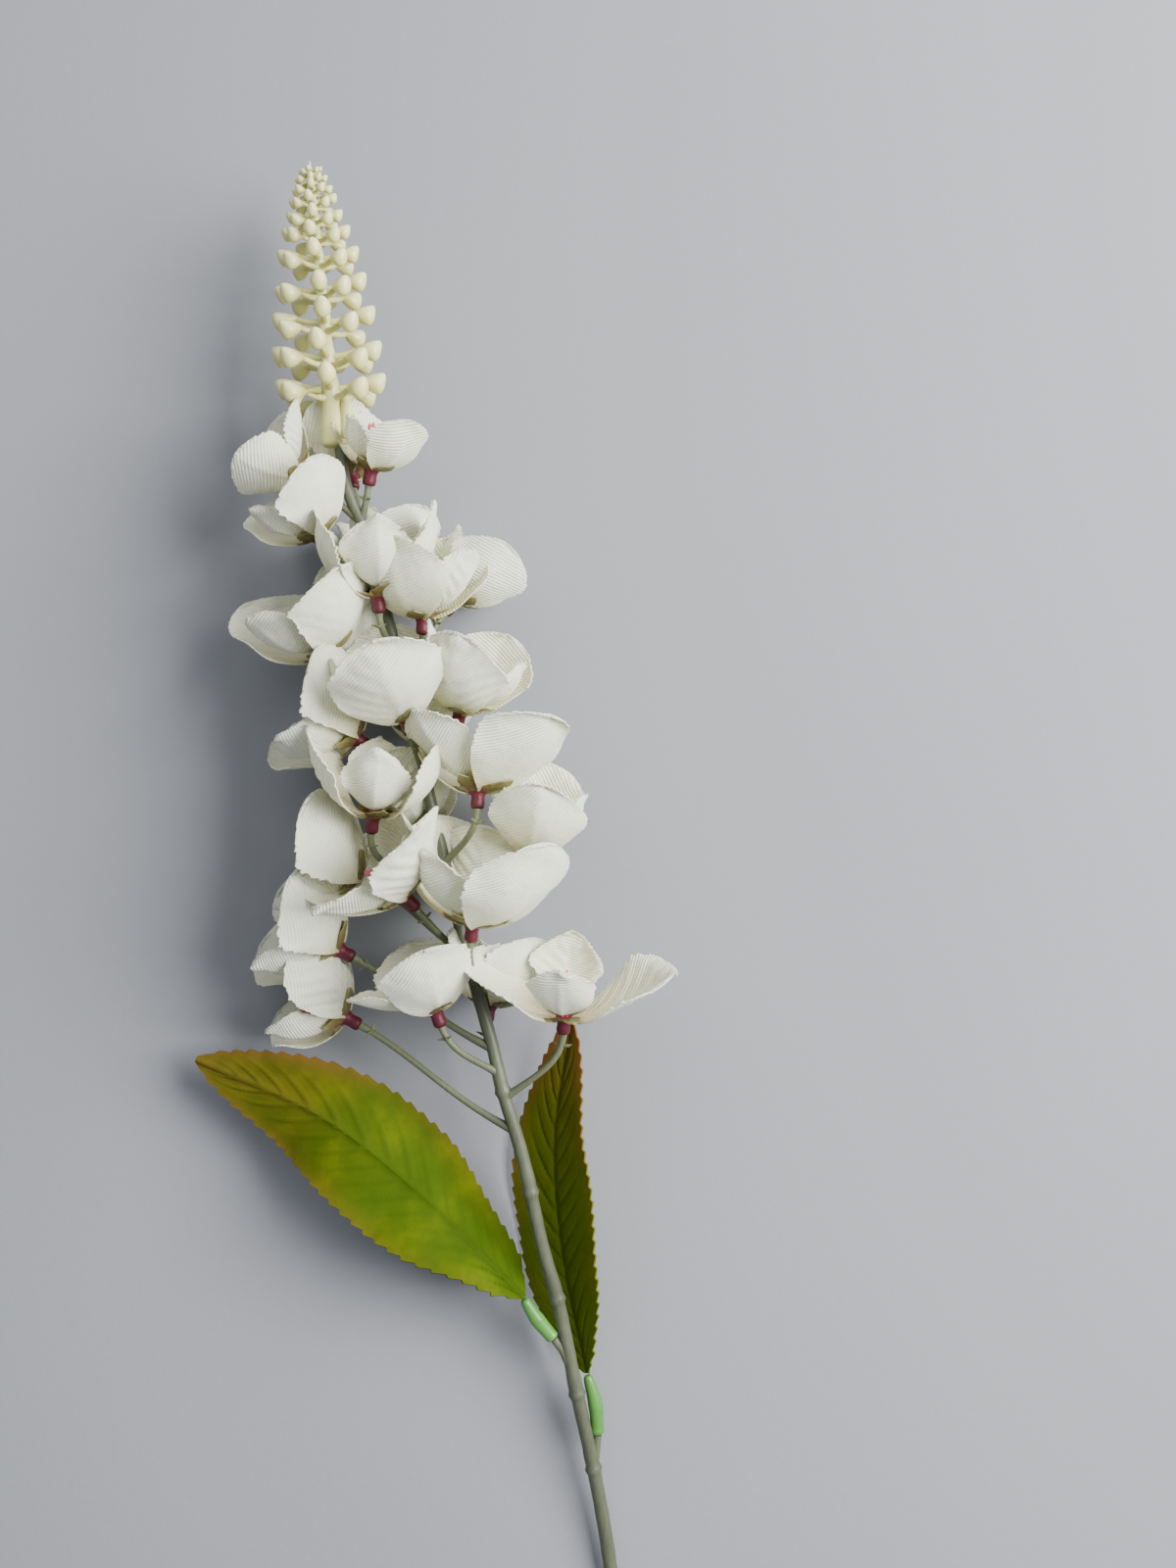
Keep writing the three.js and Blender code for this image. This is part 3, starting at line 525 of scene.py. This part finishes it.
# Each petal is its arc times a curve across, with u from foot to tip and v from side to side.
rows = np.sin(np.linspace(0, np.pi / 2, ROWS))[:, None]
columns = np.linspace(-1, 1, COLUMNS)[None, :]
for i, (socket, tilt, rise, roll, size, _) in enumerate(BLOOMS):
    axes = bloom_frame(tilt, rise, roll)
    shape = Shape()
    for k in range(4):
        _, half_width, side = PAIRS[k % 2]
        u = np.broadcast_to(rows, (ROWS, COLUMNS))
        v = np.broadcast_to(columns, (ROWS, COLUMNS))
        notch = np.array([draw(i * 4 + k, n, 18) for n in range(COLUMNS)])[None, :]
        cut = u * (1 + TIP_NOTCH * notch * smooth(0.93, 1, u))
        out, high, slope, length = petal_arc(i, k, cut)
        phase = [math.pi * draw(i, k, n) for n in range(8, 14)]

        # outline: an ellipse drawn towards the tip, more pointed on some petals, with wavy sides
        point = 0.5 + 0.5 * draw(i, k, 6) if k % 2 else 0.25 + 0.25 * draw(i, k, 6)
        outline = 2 * blend(0.004, 1.0, u ** 1.65) - 1
        reach = half_width * size * np.sqrt(np.maximum(1 - outline ** 2, 0))
        reach = reach * (1 - (0.06 + 0.34 * point) * smooth(0.6, 1, u))
        reach = reach * (1 + 0.035 * np.sin(9 * u + phase[0]) + 0.05 * np.sin(4 * u + phase[1]) * v)
        fray = np.array([draw(i * 4 + k, n, 7) for n in range(ROWS * 2)])
        ragged = np.where(v > 0, fray[:ROWS, None], fray[ROWS:2 * ROWS, None])
        reach = reach + FRAY * ragged * smooth(0.92, 1, np.abs(v)) * smooth(0.15, 0.5, u)

        # cup: the cross section is an arc of its own, square to the middle line
        radius = CUP * size
        swing = v * reach / radius
        inward = np.stack([-np.sin(slope), np.zeros_like(slope), np.cos(slope)], -1)
        sideways = np.array([0.0, 1.0, 0.0])
        up = inward * np.cos(swing)[..., None] - sideways * np.sin(swing)[..., None]
        middle = np.stack([out, np.zeros_like(out), high], -1)
        middle = (middle + sideways * (radius * np.sin(swing))[..., None]
                  + inward * (radius * (1 - np.cos(swing)))[..., None])

        # rim: waves and a small outward roll; face: soft lumps, a middle fold and pressed veins
        edge = np.abs(v) ** 4 * smooth(0.1, 0.5, u) + smooth(0.8, 1, u) * (1 - v ** 2)
        lift = RIM_WAVE * size * edge * np.sin(2 * np.pi * 1.7 * u + phase[2] + 2.2 * v)
        lift = lift - (0.5 + 0.5 * draw(i, k, 14)) * edge ** 2 * size
        lumps = np.sin(5.2 * u + phase[3] + 1.7 * v) * np.sin(3.4 * v + phase[4])
        lift = lift + LUMP * size * lumps * smooth(0, 0.4, u)
        lift = lift - FOLD * np.exp(-(v / 0.1) ** 2) * smooth(0.05, 0.3, u) * (1 - smooth(0.75, 1, u))
        veined = smooth(0.1, 0.5, draw(i, k, 15)) * smooth(0.06, 0.2, np.abs(v)) * (1 - v ** 4)
        ridge = np.sin(2 * np.pi * (6.5 * u - 2.1 * np.abs(v)) + phase[5])
        lift = lift + VEIN * veined * ridge * np.sin(np.pi * u) ** 0.6
        middle = middle + up * (side * (PAIR_STEP + PAIR_FLARE * size * v ** 2) + lift)[..., None]
        turn = math.radians(90 * k + 4 * draw(i, k, 3))
        middle = turned(middle, turn) @ axes + np.array(socket, float)

        # where it meets the floor it is pressed flat, over a soft edge
        clear = middle[..., 2] - FLOOR - PRESSED
        middle[..., 2] = FLOOR + PRESSED + (clear + np.sqrt(clear ** 2 + 0.09)) / 2
        up = turned(up, turn) @ axes
        normal = surface_normal(middle)
        normal = normal * np.sign((normal * up).sum(-1, keepdims=True) + 1e-12)
        lean = 0.9 + 0.5 * draw(i, k, 16)
        flat = np.stack([v * reach, u * length], -1) / 10
        cloth_uv = flat @ np.array([[math.cos(lean), math.sin(lean)], [-math.sin(lean), math.cos(lean)]])
        add_sheet(shape, middle, normal, CLOTH, cloth_uv,
                  along=u, tone=np.full(u.shape, 0.5 + 0.5 * draw(i, k, 17)))
    number = f"{i + 1:02d}"
    shape.build(f"bloom_{number}_petals", petal_cloth, "fabric", f"petals_{number}")

# ------------------------------------------------------------------ calyxes
# The calyx under each bloom: a crimson plastic socket pressed on the pedicel, thin olive sepals
# that hug the foot of the petals, and red stamens that stand up inside.
SOCKET_HEIGHTS = np.array([0, 0.15, 0.6, 1.4, 2.4, 3.2, 3.9, 4.3, 4.6])
SOCKET_RADII = np.array([1.0, 1.5, 1.72, 1.78, 1.66, 1.7, 2.0, 2.3, 2.2])
SEPAL_COLUMNS, SEPAL_ROWS = 96, 12
SEPAL_START = 2.15, 4.35  # out from the axis and up it, inside the top of the socket
SEPAL_TURN = math.radians(18)
SEPAL_REACH = 0.27  # how far up the petal's arc a sepal lies
STAMEN_FOOT, STAMEN_HEIGHT, STAMEN_LEAN = 4.2, 10.8, 9

# Calyx plastic by its place: crimson at the socket, olive on the sepals, red on the stamens.
calyx_plastic, tree, shader = material("calyx_plastic", 0.45, 0.3)
hue = ramp(tree, attribute(tree, "zone"),
           [(0.0, (0.07, 0.009, 0.017)), (0.2, (0.13, 0.015, 0.032)), (0.32, (0.14, 0.09, 0.035)),
            (0.5, (0.19, 0.17, 0.06)), (0.68, (0.33, 0.31, 0.13)), (0.8, (0.5, 0.07, 0.11)),
            (1.0, (0.62, 0.12, 0.17))])
speckle, fine = grain(tree, object_place(tree), 900, 4, 0.25, (0.72, 0.72, 0.72), 0.75, (1.15, 1.12, 1.1))
tree.links.new(mix(tree, 1.0, hue, speckle, "MULTIPLY"), shader.inputs["Base Color"])
bump(tree, shader, fine, 0.3, 0.0003)

# The sepals are one sheet round the axis, cut into four lobes. Under each petal the sheet
# follows the petal's arc, a little outside it.
theta = np.linspace(0, 2 * np.pi, SEPAL_COLUMNS)[None, :]
s = np.linspace(0, 1, SEPAL_ROWS)[:, None]
quarter = np.pi / 2
sector = np.round((theta - SEPAL_TURN) / quarter).astype(int) % 4
off = np.abs(np.mod(theta - SEPAL_TURN + quarter / 2, quarter) - quarter / 2) / (quarter / 2)
lobe = blend(0.3, 1.0, (1 - off) ** 1.3)
for i, (socket, tilt, rise, roll, *_) in enumerate(BLOOMS):
    shape = Shape()
    add_tube(shape, np.stack([SOCKET_HEIGHTS * 0, SOCKET_HEIGHTS * 0, SOCKET_HEIGHTS], -1), SOCKET_RADII,
             20, zone=blend(0.0, 0.22, SOCKET_HEIGHTS / SOCKET_HEIGHTS[-1]))
    out = np.zeros((SEPAL_ROWS, SEPAL_COLUMNS))
    high = np.zeros_like(out)
    for k in range(4):
        here = np.broadcast_to(sector == k, out.shape)
        curl = max(0.0, draw(i, k, 20)) * 1.6
        arc_out, arc_high, slope, _ = petal_arc(i, k, 0.02 + SEPAL_REACH * lobe * s)
        under = PAIR_STEP * (k % 2 == 0) + 0.45 + curl * (s * lobe) ** 3
        out = np.where(here, arc_out + np.sin(slope) * under, out)
        high = np.where(here, arc_high - np.cos(slope) * under, high)
    ease = smooth(0, 0.3, s)
    out = blend(SEPAL_START[0], out, ease)
    high = blend(SEPAL_START[1], high, ease)
    middle = np.stack([out * np.cos(theta), out * np.sin(theta), high], -1)
    normal = surface_normal(middle)
    normal = normal * np.sign(normal[..., 2:3] + 1e-9)
    ribbing = 0.12 * np.cos(theta * 20) * s
    middle = middle + normal * ribbing[..., None]
    thick = np.broadcast_to(blend(0.55, 0.28, s), out.shape)
    add_sheet(shape, middle[:, ::-1], normal[:, ::-1], thick, np.zeros((out.size, 2)),
              zone=np.broadcast_to(blend(0.3, 0.62, (s * lobe)[:, ::-1]), out.shape))
    t = np.linspace(0, 1, 14)
    for k in range(4):
        spin = math.pi * (0.5 * k + 0.4 + 0.2 * draw(i, k, 21))
        lean = math.radians(STAMEN_LEAN + 4 * draw(i, k, 22))
        tall = STAMEN_HEIGHT + 1.4 * draw(i, k, 23)
        far = 0.45 + tall * t * math.sin(lean) + 1.1 * t ** 2
        path = np.stack([far * math.cos(spin), far * math.sin(spin), STAMEN_FOOT + tall * t], -1)
        thin = blend(0.45, 0.7, smooth(0.5, 0.85, t)) * np.sqrt(np.maximum(1 - t ** 12, 0.03))
        add_tube(shape, path, thin, 8, zone=blend(0.8, 1.0, t))
    axes = bloom_frame(tilt, rise, roll)
    shape.points = [points @ axes + np.array(socket, float) for points in shape.points]
    number = f"{i + 1:02d}"
    shape.build(f"bloom_{number}_calyx", calyx_plastic, "socket", f"calyx_{number}")

# ------------------------------------------------------------------ bud tip
# The tip of the spike, one moulding in cream plastic: a tapering shaft pushed over the stem's
# end, and whorls of eight hooded buds on short stalks, smaller towards the top.
BUD_FOOT = np.array([-1.1, 0.0, 0.0])
BUD_AXIS = unit([-6.7, 72.8, 0])
SHAFT_LENGTH = 73
SHAFT_HEIGHTS = [0, 0.6, 3, 7, 12, 16, 25, 48, 70, 73]
SHAFT_RADII = [2.9, 3.5, 3.4, 3.0, 2.3, 1.9, 1.55, 1.2, 0.6, 0.1]
WHORLS = [(17, 14.3, 1), (25.2, 14.1, 0.98), (33.8, 13.3, 0.94), (42, 12, 0.9), (49.6, 10.5, 0.82),
          (55.4, 8.8, 0.7), (59.8, 7.2, 0.6), (63.4, 6.2, 0.5), (66.4, 5.2, 0.42), (69, 4.2, 0.34),
          (71, 3.1, 0.26)]  # height, reach from the shaft's axis, size of the buds
STALK_RISE = math.radians(10)
STAGGER = 2.6  # every other bud of a whorl sits this much lower
HEAD_LENGTH = 7
# A bud's head from the stalk outwards: distance out, top and bottom of its side view, half width.
HEAD = np.array([(0, 0.55, -0.55, 0.5), (0.9, 0.85, -1.35, 1.25), (2.1, 1.0, -2.8, 1.95),
                 (3.4, 1.1, -3.9, 2.35), (4.6, 1.15, -4.2, 2.4), (5.7, 1.1, -3.5, 2.05),
                 (6.5, 0.95, -2.2, 1.45), (7.0, 0.65, -1.0, 0.75), (7.15, 0.2, -0.3, 0.2)])
HEAD_ROWS, HEAD_SIDES = 15, 14

# Bud plastic: cream, a little see-through, more olive towards the stalk of each bud, and painted
# shade that darkens each bud's underside towards its keel.
bud_plastic, tree, shader = material("bud_plastic", 0.3, 0.5)
shader.inputs["Subsurface Weight"].default_value = 0.12
shader.inputs["Subsurface Radius"].default_value = (1.0, 0.85, 0.4)
shader.inputs["Subsurface Scale"].default_value = 0.0015
place = object_place(tree)
cream = ramp(tree, attribute(tree, "ripe"), [(0.0, (0.42, 0.4, 0.13)), (0.35, (0.64, 0.62, 0.26)),
                                             (0.7, (0.77, 0.76, 0.4)), (1.0, (0.84, 0.84, 0.56))])
mottle, _ = grain(tree, place, 500, 4, 0.25, (0.88, 0.88, 0.84))
tree.links.new(mix(tree, 1.0, cream, mottle, "MULTIPLY"), shader.inputs["Base Color"])
_, fine = grain(tree, place, 900, 3)
bump(tree, shader, fine, 0.25, 0.0003)

# The shaft swells a little at each whorl.
right = unit(np.cross(BUD_AXIS, [0, 0, 1]))
toward = np.cross(right, BUD_AXIS)
shape = Shape()
heights = np.linspace(0, SHAFT_LENGTH, 120)
profile = np.interp(heights, SHAFT_HEIGHTS, SHAFT_RADII)
for height, _, size in WHORLS:
    profile = profile + 0.35 * size * np.exp(-((heights - height + 1.5) / (2.2 * size)) ** 2)
add_tube(shape, BUD_FOOT + heights[:, None] * BUD_AXIS, profile, 18,
         ripe=blend(0.35, 0.8, heights / SHAFT_LENGTH))

# A head is a ring of points carried outwards: its half width, crest and keel come from HEAD,
# which makes a hood with a nearly flat back, a deep keel and a rounded beak at its outer end.
rows = np.linspace(0, len(HEAD) - 1, HEAD_ROWS)
angle = np.linspace(0, 2 * np.pi, HEAD_SIDES, endpoint=False)
cosine, sine = np.cos(angle)[None], np.sin(angle)[None]
bulge = 1 - 0.12 * np.abs(sine) ** 3 * (sine < 0)
# Each head is paler towards its outer end; painted shade darkens its underside towards the keel and its top
# is painted lighter.
head_ripe_and_lit = blend(0.2, 1.0, smooth(0, 10, rows)[:, None] * 0.55 + 0.45 * smooth(-0.6, 0.9, sine))
n = np.arange(HEAD_ROWS * HEAD_SIDES).reshape(HEAD_ROWS, HEAD_SIDES)
m = np.roll(n, -1, axis=1)
head_skin = np.stack([n[:-1], n[1:], m[1:], m[:-1]], -1).reshape(-1, 4)
t = np.linspace(0, 1, 8)
for level, (height, reach, size) in enumerate(WHORLS):
    out, crest, keel, across = (np.interp(rows, np.arange(len(HEAD)), column) * size
                                for column in HEAD.T)
    middle, half = (crest + keel)[:, None] / 2, (crest - keel)[:, None] / 2
    neck = reach - HEAD_LENGTH * size
    for k in range(8):
        spin = math.radians(45 * k + 6 * draw(level, k, 5))
        rise = STALK_RISE + math.radians(6 * draw(level, k, 4))
        way = (right * math.cos(spin) + toward * math.sin(spin)) * math.cos(rise) + BUD_AXIS * math.sin(rise)
        top = unit(BUD_AXIS - way * (way @ BUD_AXIS))
        wide = np.cross(way, top)
        foot = BUD_FOOT + BUD_AXIS * (height - STAGGER * size * (k % 2) - reach * math.sin(STALK_RISE))
        sag = -0.5 * size * np.sin(np.pi * t)[:, None]
        add_tube(shape, foot + way * (0.4 + (neck + 0.9 * size) * t[:, None]) + top * sag,
                 np.interp(t, [0, 0.3, 1], [1.25, 0.85, 0.8]) * size, 9, ripe=np.full(len(t), 0.25))
        points = (foot + way * (neck + out[:, None, None])
                  + wide * (across[:, None] * cosine * bulge)[..., None]
                  + top * (middle + half * sine)[..., None])
        shape.add(points, [head_skin, n[0][None], n[-1, ::-1][None]], ripe=head_ripe_and_lit)

# A small swelling beside the shaft's foot, and one bud that hangs on a thin bent stalk.
boss = BUD_FOOT + np.array([[2.2, 13, 0.4], [2.9, 9, 1.0], [3.3, 5, 1.4], [3.4, 1.6, 1.6]])
add_tube(shape, through(boss, 16), np.interp(np.arange(16), [0, 4, 13, 15], [0.7, 1.5, 2.0, 1.8]), 14,
         ripe=np.full(16, 0.5))
hanging = through([(-4.5, 13.5, 4.2), (-8.2, 12.6, 5.6), (-10.6, 9.6, 6.2), (-11.4, 6.4, 6.3)], 24)
t = np.linspace(0, 1, 24)
add_tube(shape, hanging, np.interp(t, [0, 0.15, 0.4, 0.75, 0.93, 1], [1.3, 0.8, 0.85, 1.5, 1.1, 0.3]),
         12, ripe=blend(0.0, 0.3, t))
shape.build("bud_tip_moulding", bud_plastic, "bud", "bud_tip")

# ------------------------------------------------------------------ leaves
# Two leaves of printed cloth with saw-toothed edges and pressed veins, folded a little along the
# rib. Each is pushed into a sleeve on a stub of the stem.
# Each leaf: its rib, the way its side faces, half width, fold, and how much painted light lifts its green.
LEAVES = {
    "broad": ([(46.5, -220, -9), (17.5, -190.5, -6.5), (-6.5, -172, -7), (-39.5, -158.5, -13)],
              (0.55, -0.83, 0.1), 16, 0.1, 0.0),
    "rear": ([(63, -242.5, -17.5), (56.5, -210, -16), (54.5, -180, -14.5), (59, -148, -11)],
             (0.72, 0, 0.69), 14, 0.12, 0.25),
}
LEAF_CLOTH = 0.5
LEAF_ROWS, LEAF_COLUMNS, TEETH = 280, 41, 27
TOOTH, TOOTH_PEAK = 0.95, 0.82  # depth, and where along its length a tooth is deepest
VEINS = 15
VEIN_DEPTH, RIB_DEPTH = 0.42, 0.5

# Leaf cloth: yellow green, darker at the rib and veins, there partly print and partly painted shade
# in the pressed lines, rust towards the tip and along the edge, and lighter on the rear leaf as painted
# light.
leaf_cloth, tree, shader = material("leaf_cloth", 0.75, 0.06)
place = object_place(tree)
along = attribute(tree, "along")
aside = attribute(tree, "aside")
green = ramp(tree, noise(tree, place, 90, 5), [(0.25, (0.03, 0.065, 0.001)), (0.5, (0.048, 0.082, 0.001)),
                                               (0.75, (0.09, 0.125, 0.002))])
# Darker near the rib, and darker still along the pressed rib and veins: partly the print's darker green,
# partly painted shade in the pressed lines.
near_rib = maths(tree, "MULTIPLY", maths(tree, "POWER", maths(tree, "SUBTRACT", 1.0, aside), 3), 0.5)
dark = maths(tree, "MULTIPLY_ADD", attribute(tree, "vein"), 0.42, near_rib, clamp=True)
green = mix(tree, dark, green, (0.03, 0.06, 0.002))
# Painted light: the rear leaf, which stands edge-on to the lamps, is mixed towards a lighter green.
green = mix(tree, attribute(tree, "fresh"), green, (0.16, 0.2, 0.003))
edge_rust = maths(tree, "MULTIPLY", maths(tree, "POWER", aside, 6), maths(tree, "MULTIPLY", along, 1.1))
tip_rust = maths(tree, "MULTIPLY", maths(tree, "POWER", along, 5), 1.2)
patch = maths(tree, "MULTIPLY_ADD", noise(tree, place, 45, 4), 1.7, -0.36)
rust = maths(tree, "MULTIPLY", maths(tree, "ADD", edge_rust, tip_rust), patch, clamp=True)
tree.links.new(mix(tree, rust, green, (0.2, 0.08, 0.022)), shader.inputs["Base Color"])
ribs = rib(tree, node(tree, "ShaderNodeUVMap", uv_map="cloth").outputs[0],
           Scale=5.0, Waver=0.5, Detail=2, Spread=1)
_, fine = grain(tree, place, 700, 5)
bump(tree, shader, maths(tree, "ADD", maths(tree, "MULTIPLY", ribs, 0.4), fine), 0.3, 0.0003)

# A leaf with u from base to tip and v from side to side: a sine outline, slimmer at the base on
# its lower side, saw teeth along the edge, and the rib and slanting veins pressed into it.
for name, (rib_points, side, half_width, fold, fresh) in LEAVES.items():
    line = through(rib_points, LEAF_ROWS)
    forward = unit(np.gradient(line, axis=0))
    side = unit(side)
    across = unit(side - forward * (forward @ side)[:, None])
    up = np.cross(across, forward)
    u = np.linspace(0, 1, LEAF_ROWS)[:, None]
    v = np.linspace(-1, 1, LEAF_COLUMNS)[None, :]
    outline = blend(0.05, 0.995, u ** 0.9)
    reach = half_width * np.sin(np.pi * outline) ** 0.75 * np.clip(0.06 + u / 0.07, 0, 1) ** 0.5
    reach = reach * (1 - 0.42 * (v > 0) * (1 - smooth(0.0, 0.3, u)))
    saw = (u * TEETH) % 1.0
    tooth = TOOTH * np.where(saw < TOOTH_PEAK, saw / TOOTH_PEAK, (1 - saw) / (1 - TOOTH_PEAK))
    tooth = tooth * smooth(0.0, 0.06, 1 - u) * smooth(0, 0.05, u)
    far = np.abs(v)
    span = np.sign(v) * (far * reach + tooth * smooth(0.86, 1, far))
    branch = u * VEINS - far * 2.4 - 0.5 * far ** 2 + 0.3 * np.sin(9 * u + 2 * np.sign(v))
    vein = np.exp(-((1 - np.abs((branch % 1.0) - 0.5) * 2) / 0.2) ** 2)
    vein = vein * smooth(0.02, 0.1, far) * (1 - smooth(0.35, 0.85, far))
    vein = vein * smooth(0, 0.05, u) * (1 - smooth(0.85, 1, u))
    rib_press = np.exp(-(far * reach / 0.7) ** 2)
    wave = 0.5 * far ** 2 * np.sin(u * 17 + 2 * np.sign(v)) * smooth(0, 0.2, u)
    lift = fold * far * reach - VEIN_DEPTH * vein - RIB_DEPTH * rib_press + wave
    middle = line[:, None] + across[:, None] * span[..., None] + up[:, None] * lift[..., None]
    normal = surface_normal(middle)
    normal = normal * np.sign((normal * up[:, None]).sum(-1, keepdims=True))
    full = np.broadcast_to(u, (LEAF_ROWS, LEAF_COLUMNS))
    shape = Shape()
    add_sheet(shape, middle, normal, LEAF_CLOTH, np.stack([span / 10, full * 10], -1),
              along=full, aside=np.broadcast_to(far, full.shape),
              vein=np.maximum(vein, rib_press * 0.6), fresh=np.full(full.shape, fresh))
    shape.build(f"leaf_{name}_blade", leaf_cloth, "leaf", f"leaf_{name}")

# ------------------------------------------------------------------ sleeves
# Two short tubes of soft fresh green plastic, pushed over the stubs of the stem. Each grips the
# base of a leaf at its narrow end and has a small rim at the other.
SLEEVES = {
    "broad": [(46.62, -220.42, -9.1), (50, -226, -10.4), (54, -231, -11.6)],
    "rear": [(63.1, -243, -17.55), (65.2, -251, -18.4), (65.8, -258.6, -18.8)],
}
SLEEVE_RADII = [1.3, 2.0, 1.7]  # at the leaf, in the middle and at the stub

# Sleeve plastic: fresh green, smooth.
sleeve_plastic, tree, shader = material("sleeve_plastic", 0.33, 0.5)
place = object_place(tree)
green, _ = grain(tree, place, 160, 3, dark=(0.06, 0.2, 0.03), light=(0.1, 0.28, 0.055))
tree.links.new(green, shader.inputs["Base Color"])
_, fine = grain(tree, place, 900, 3)
bump(tree, shader, fine, 0.2, 0.0002)

t = np.linspace(0, 1, 40)
sleeve_radius = np.interp(t, [0, 0.5, 1], SLEEVE_RADII)
sleeve_radius = sleeve_radius - 0.5 * np.exp(-t / 0.03) + 0.15 * np.exp(-((t - 0.96) / 0.03) ** 2)
for name, route in SLEEVES.items():
    shape = Shape()
    add_tube(shape, through(route, len(t)), sleeve_radius, 18)
    shape.build(f"sleeve_{name}_moulding", sleeve_plastic, "sleeve", f"sleeve_{name}")

# ------------------------------------------------------------------ stage
# A plain pale floor, a large soft light from the upper right, a weak one from the left and a
# pale sky all round. The camera looks straight down, with the framing of the photograph.
FLOOR_HALF = 3  # metres
CAMERA_PLACE = np.array([63.25, -86.25, 450])  # millimetres, as the points above
AIM = (0, 0.05, 0)

floor_paint, tree, shader = material("floor_paint", 0.9, 0.2)
place = object_place(tree)
paint, _ = grain(tree, place, 2.0, 3, dark=(0.245, 0.255, 0.278), light=(0.272, 0.282, 0.305))
tree.links.new(paint, shader.inputs["Base Color"])
_, fine = grain(tree, place, 350, 4)
bump(tree, shader, fine, 0.08, 0.001)
mesh = bpy.data.meshes.new("floor")
mesh.from_pydata([(x * FLOOR_HALF, y * FLOOR_HALF, 0) for x, y in ((-1, -1), (1, -1), (1, 1), (-1, 1))],
                 [], [(0, 1, 2, 3)])
mesh.materials.append(floor_paint)
floor = bpy.data.objects.new("floor", mesh)
bpy.context.scene.collection.objects.link(floor)


def area_light(name, place, size, power, color):
    """A square lamp that faces AIM: its own z axis points away from it."""
    lamp = bpy.data.lights.new(name, "AREA")
    lamp.size, lamp.energy, lamp.color = size, power, color
    light = bpy.data.objects.new(name, lamp)
    light.location = place
    back = unit(np.array(place, float) - np.array(AIM, float))
    side = unit(np.cross([0, 1, 0], back))
    up = np.cross(back, side)
    light.rotation_euler = Matrix(np.stack([side, up, back], 1).tolist()).to_euler()
    bpy.context.scene.collection.objects.link(light)


area_light("key", (0.6, 0.22, 0.55), 0.6, 23.5, (1.0, 0.99, 0.97))
area_light("fill", (-0.25, 0.5, 0.75), 0.6, 1.6, (0.97, 0.99, 1.0))
world = bpy.data.worlds.new("studio")
world.use_nodes = True
sky = world.node_tree.nodes["Background"]
sky.inputs["Color"].default_value = (0.9, 0.93, 1.0, 1)
sky.inputs["Strength"].default_value = 0.47
bpy.context.scene.world = world

camera = bpy.data.cameras.new("camera")
camera.sensor_width = 36
camera.lens = 40.5
camera.clip_start = 0.01
view = bpy.data.objects.new("camera", camera)
view.location = (CAMERA_PLACE + SHIFT) * METRES
bpy.context.scene.collection.objects.link(view)
bpy.context.scene.camera = view
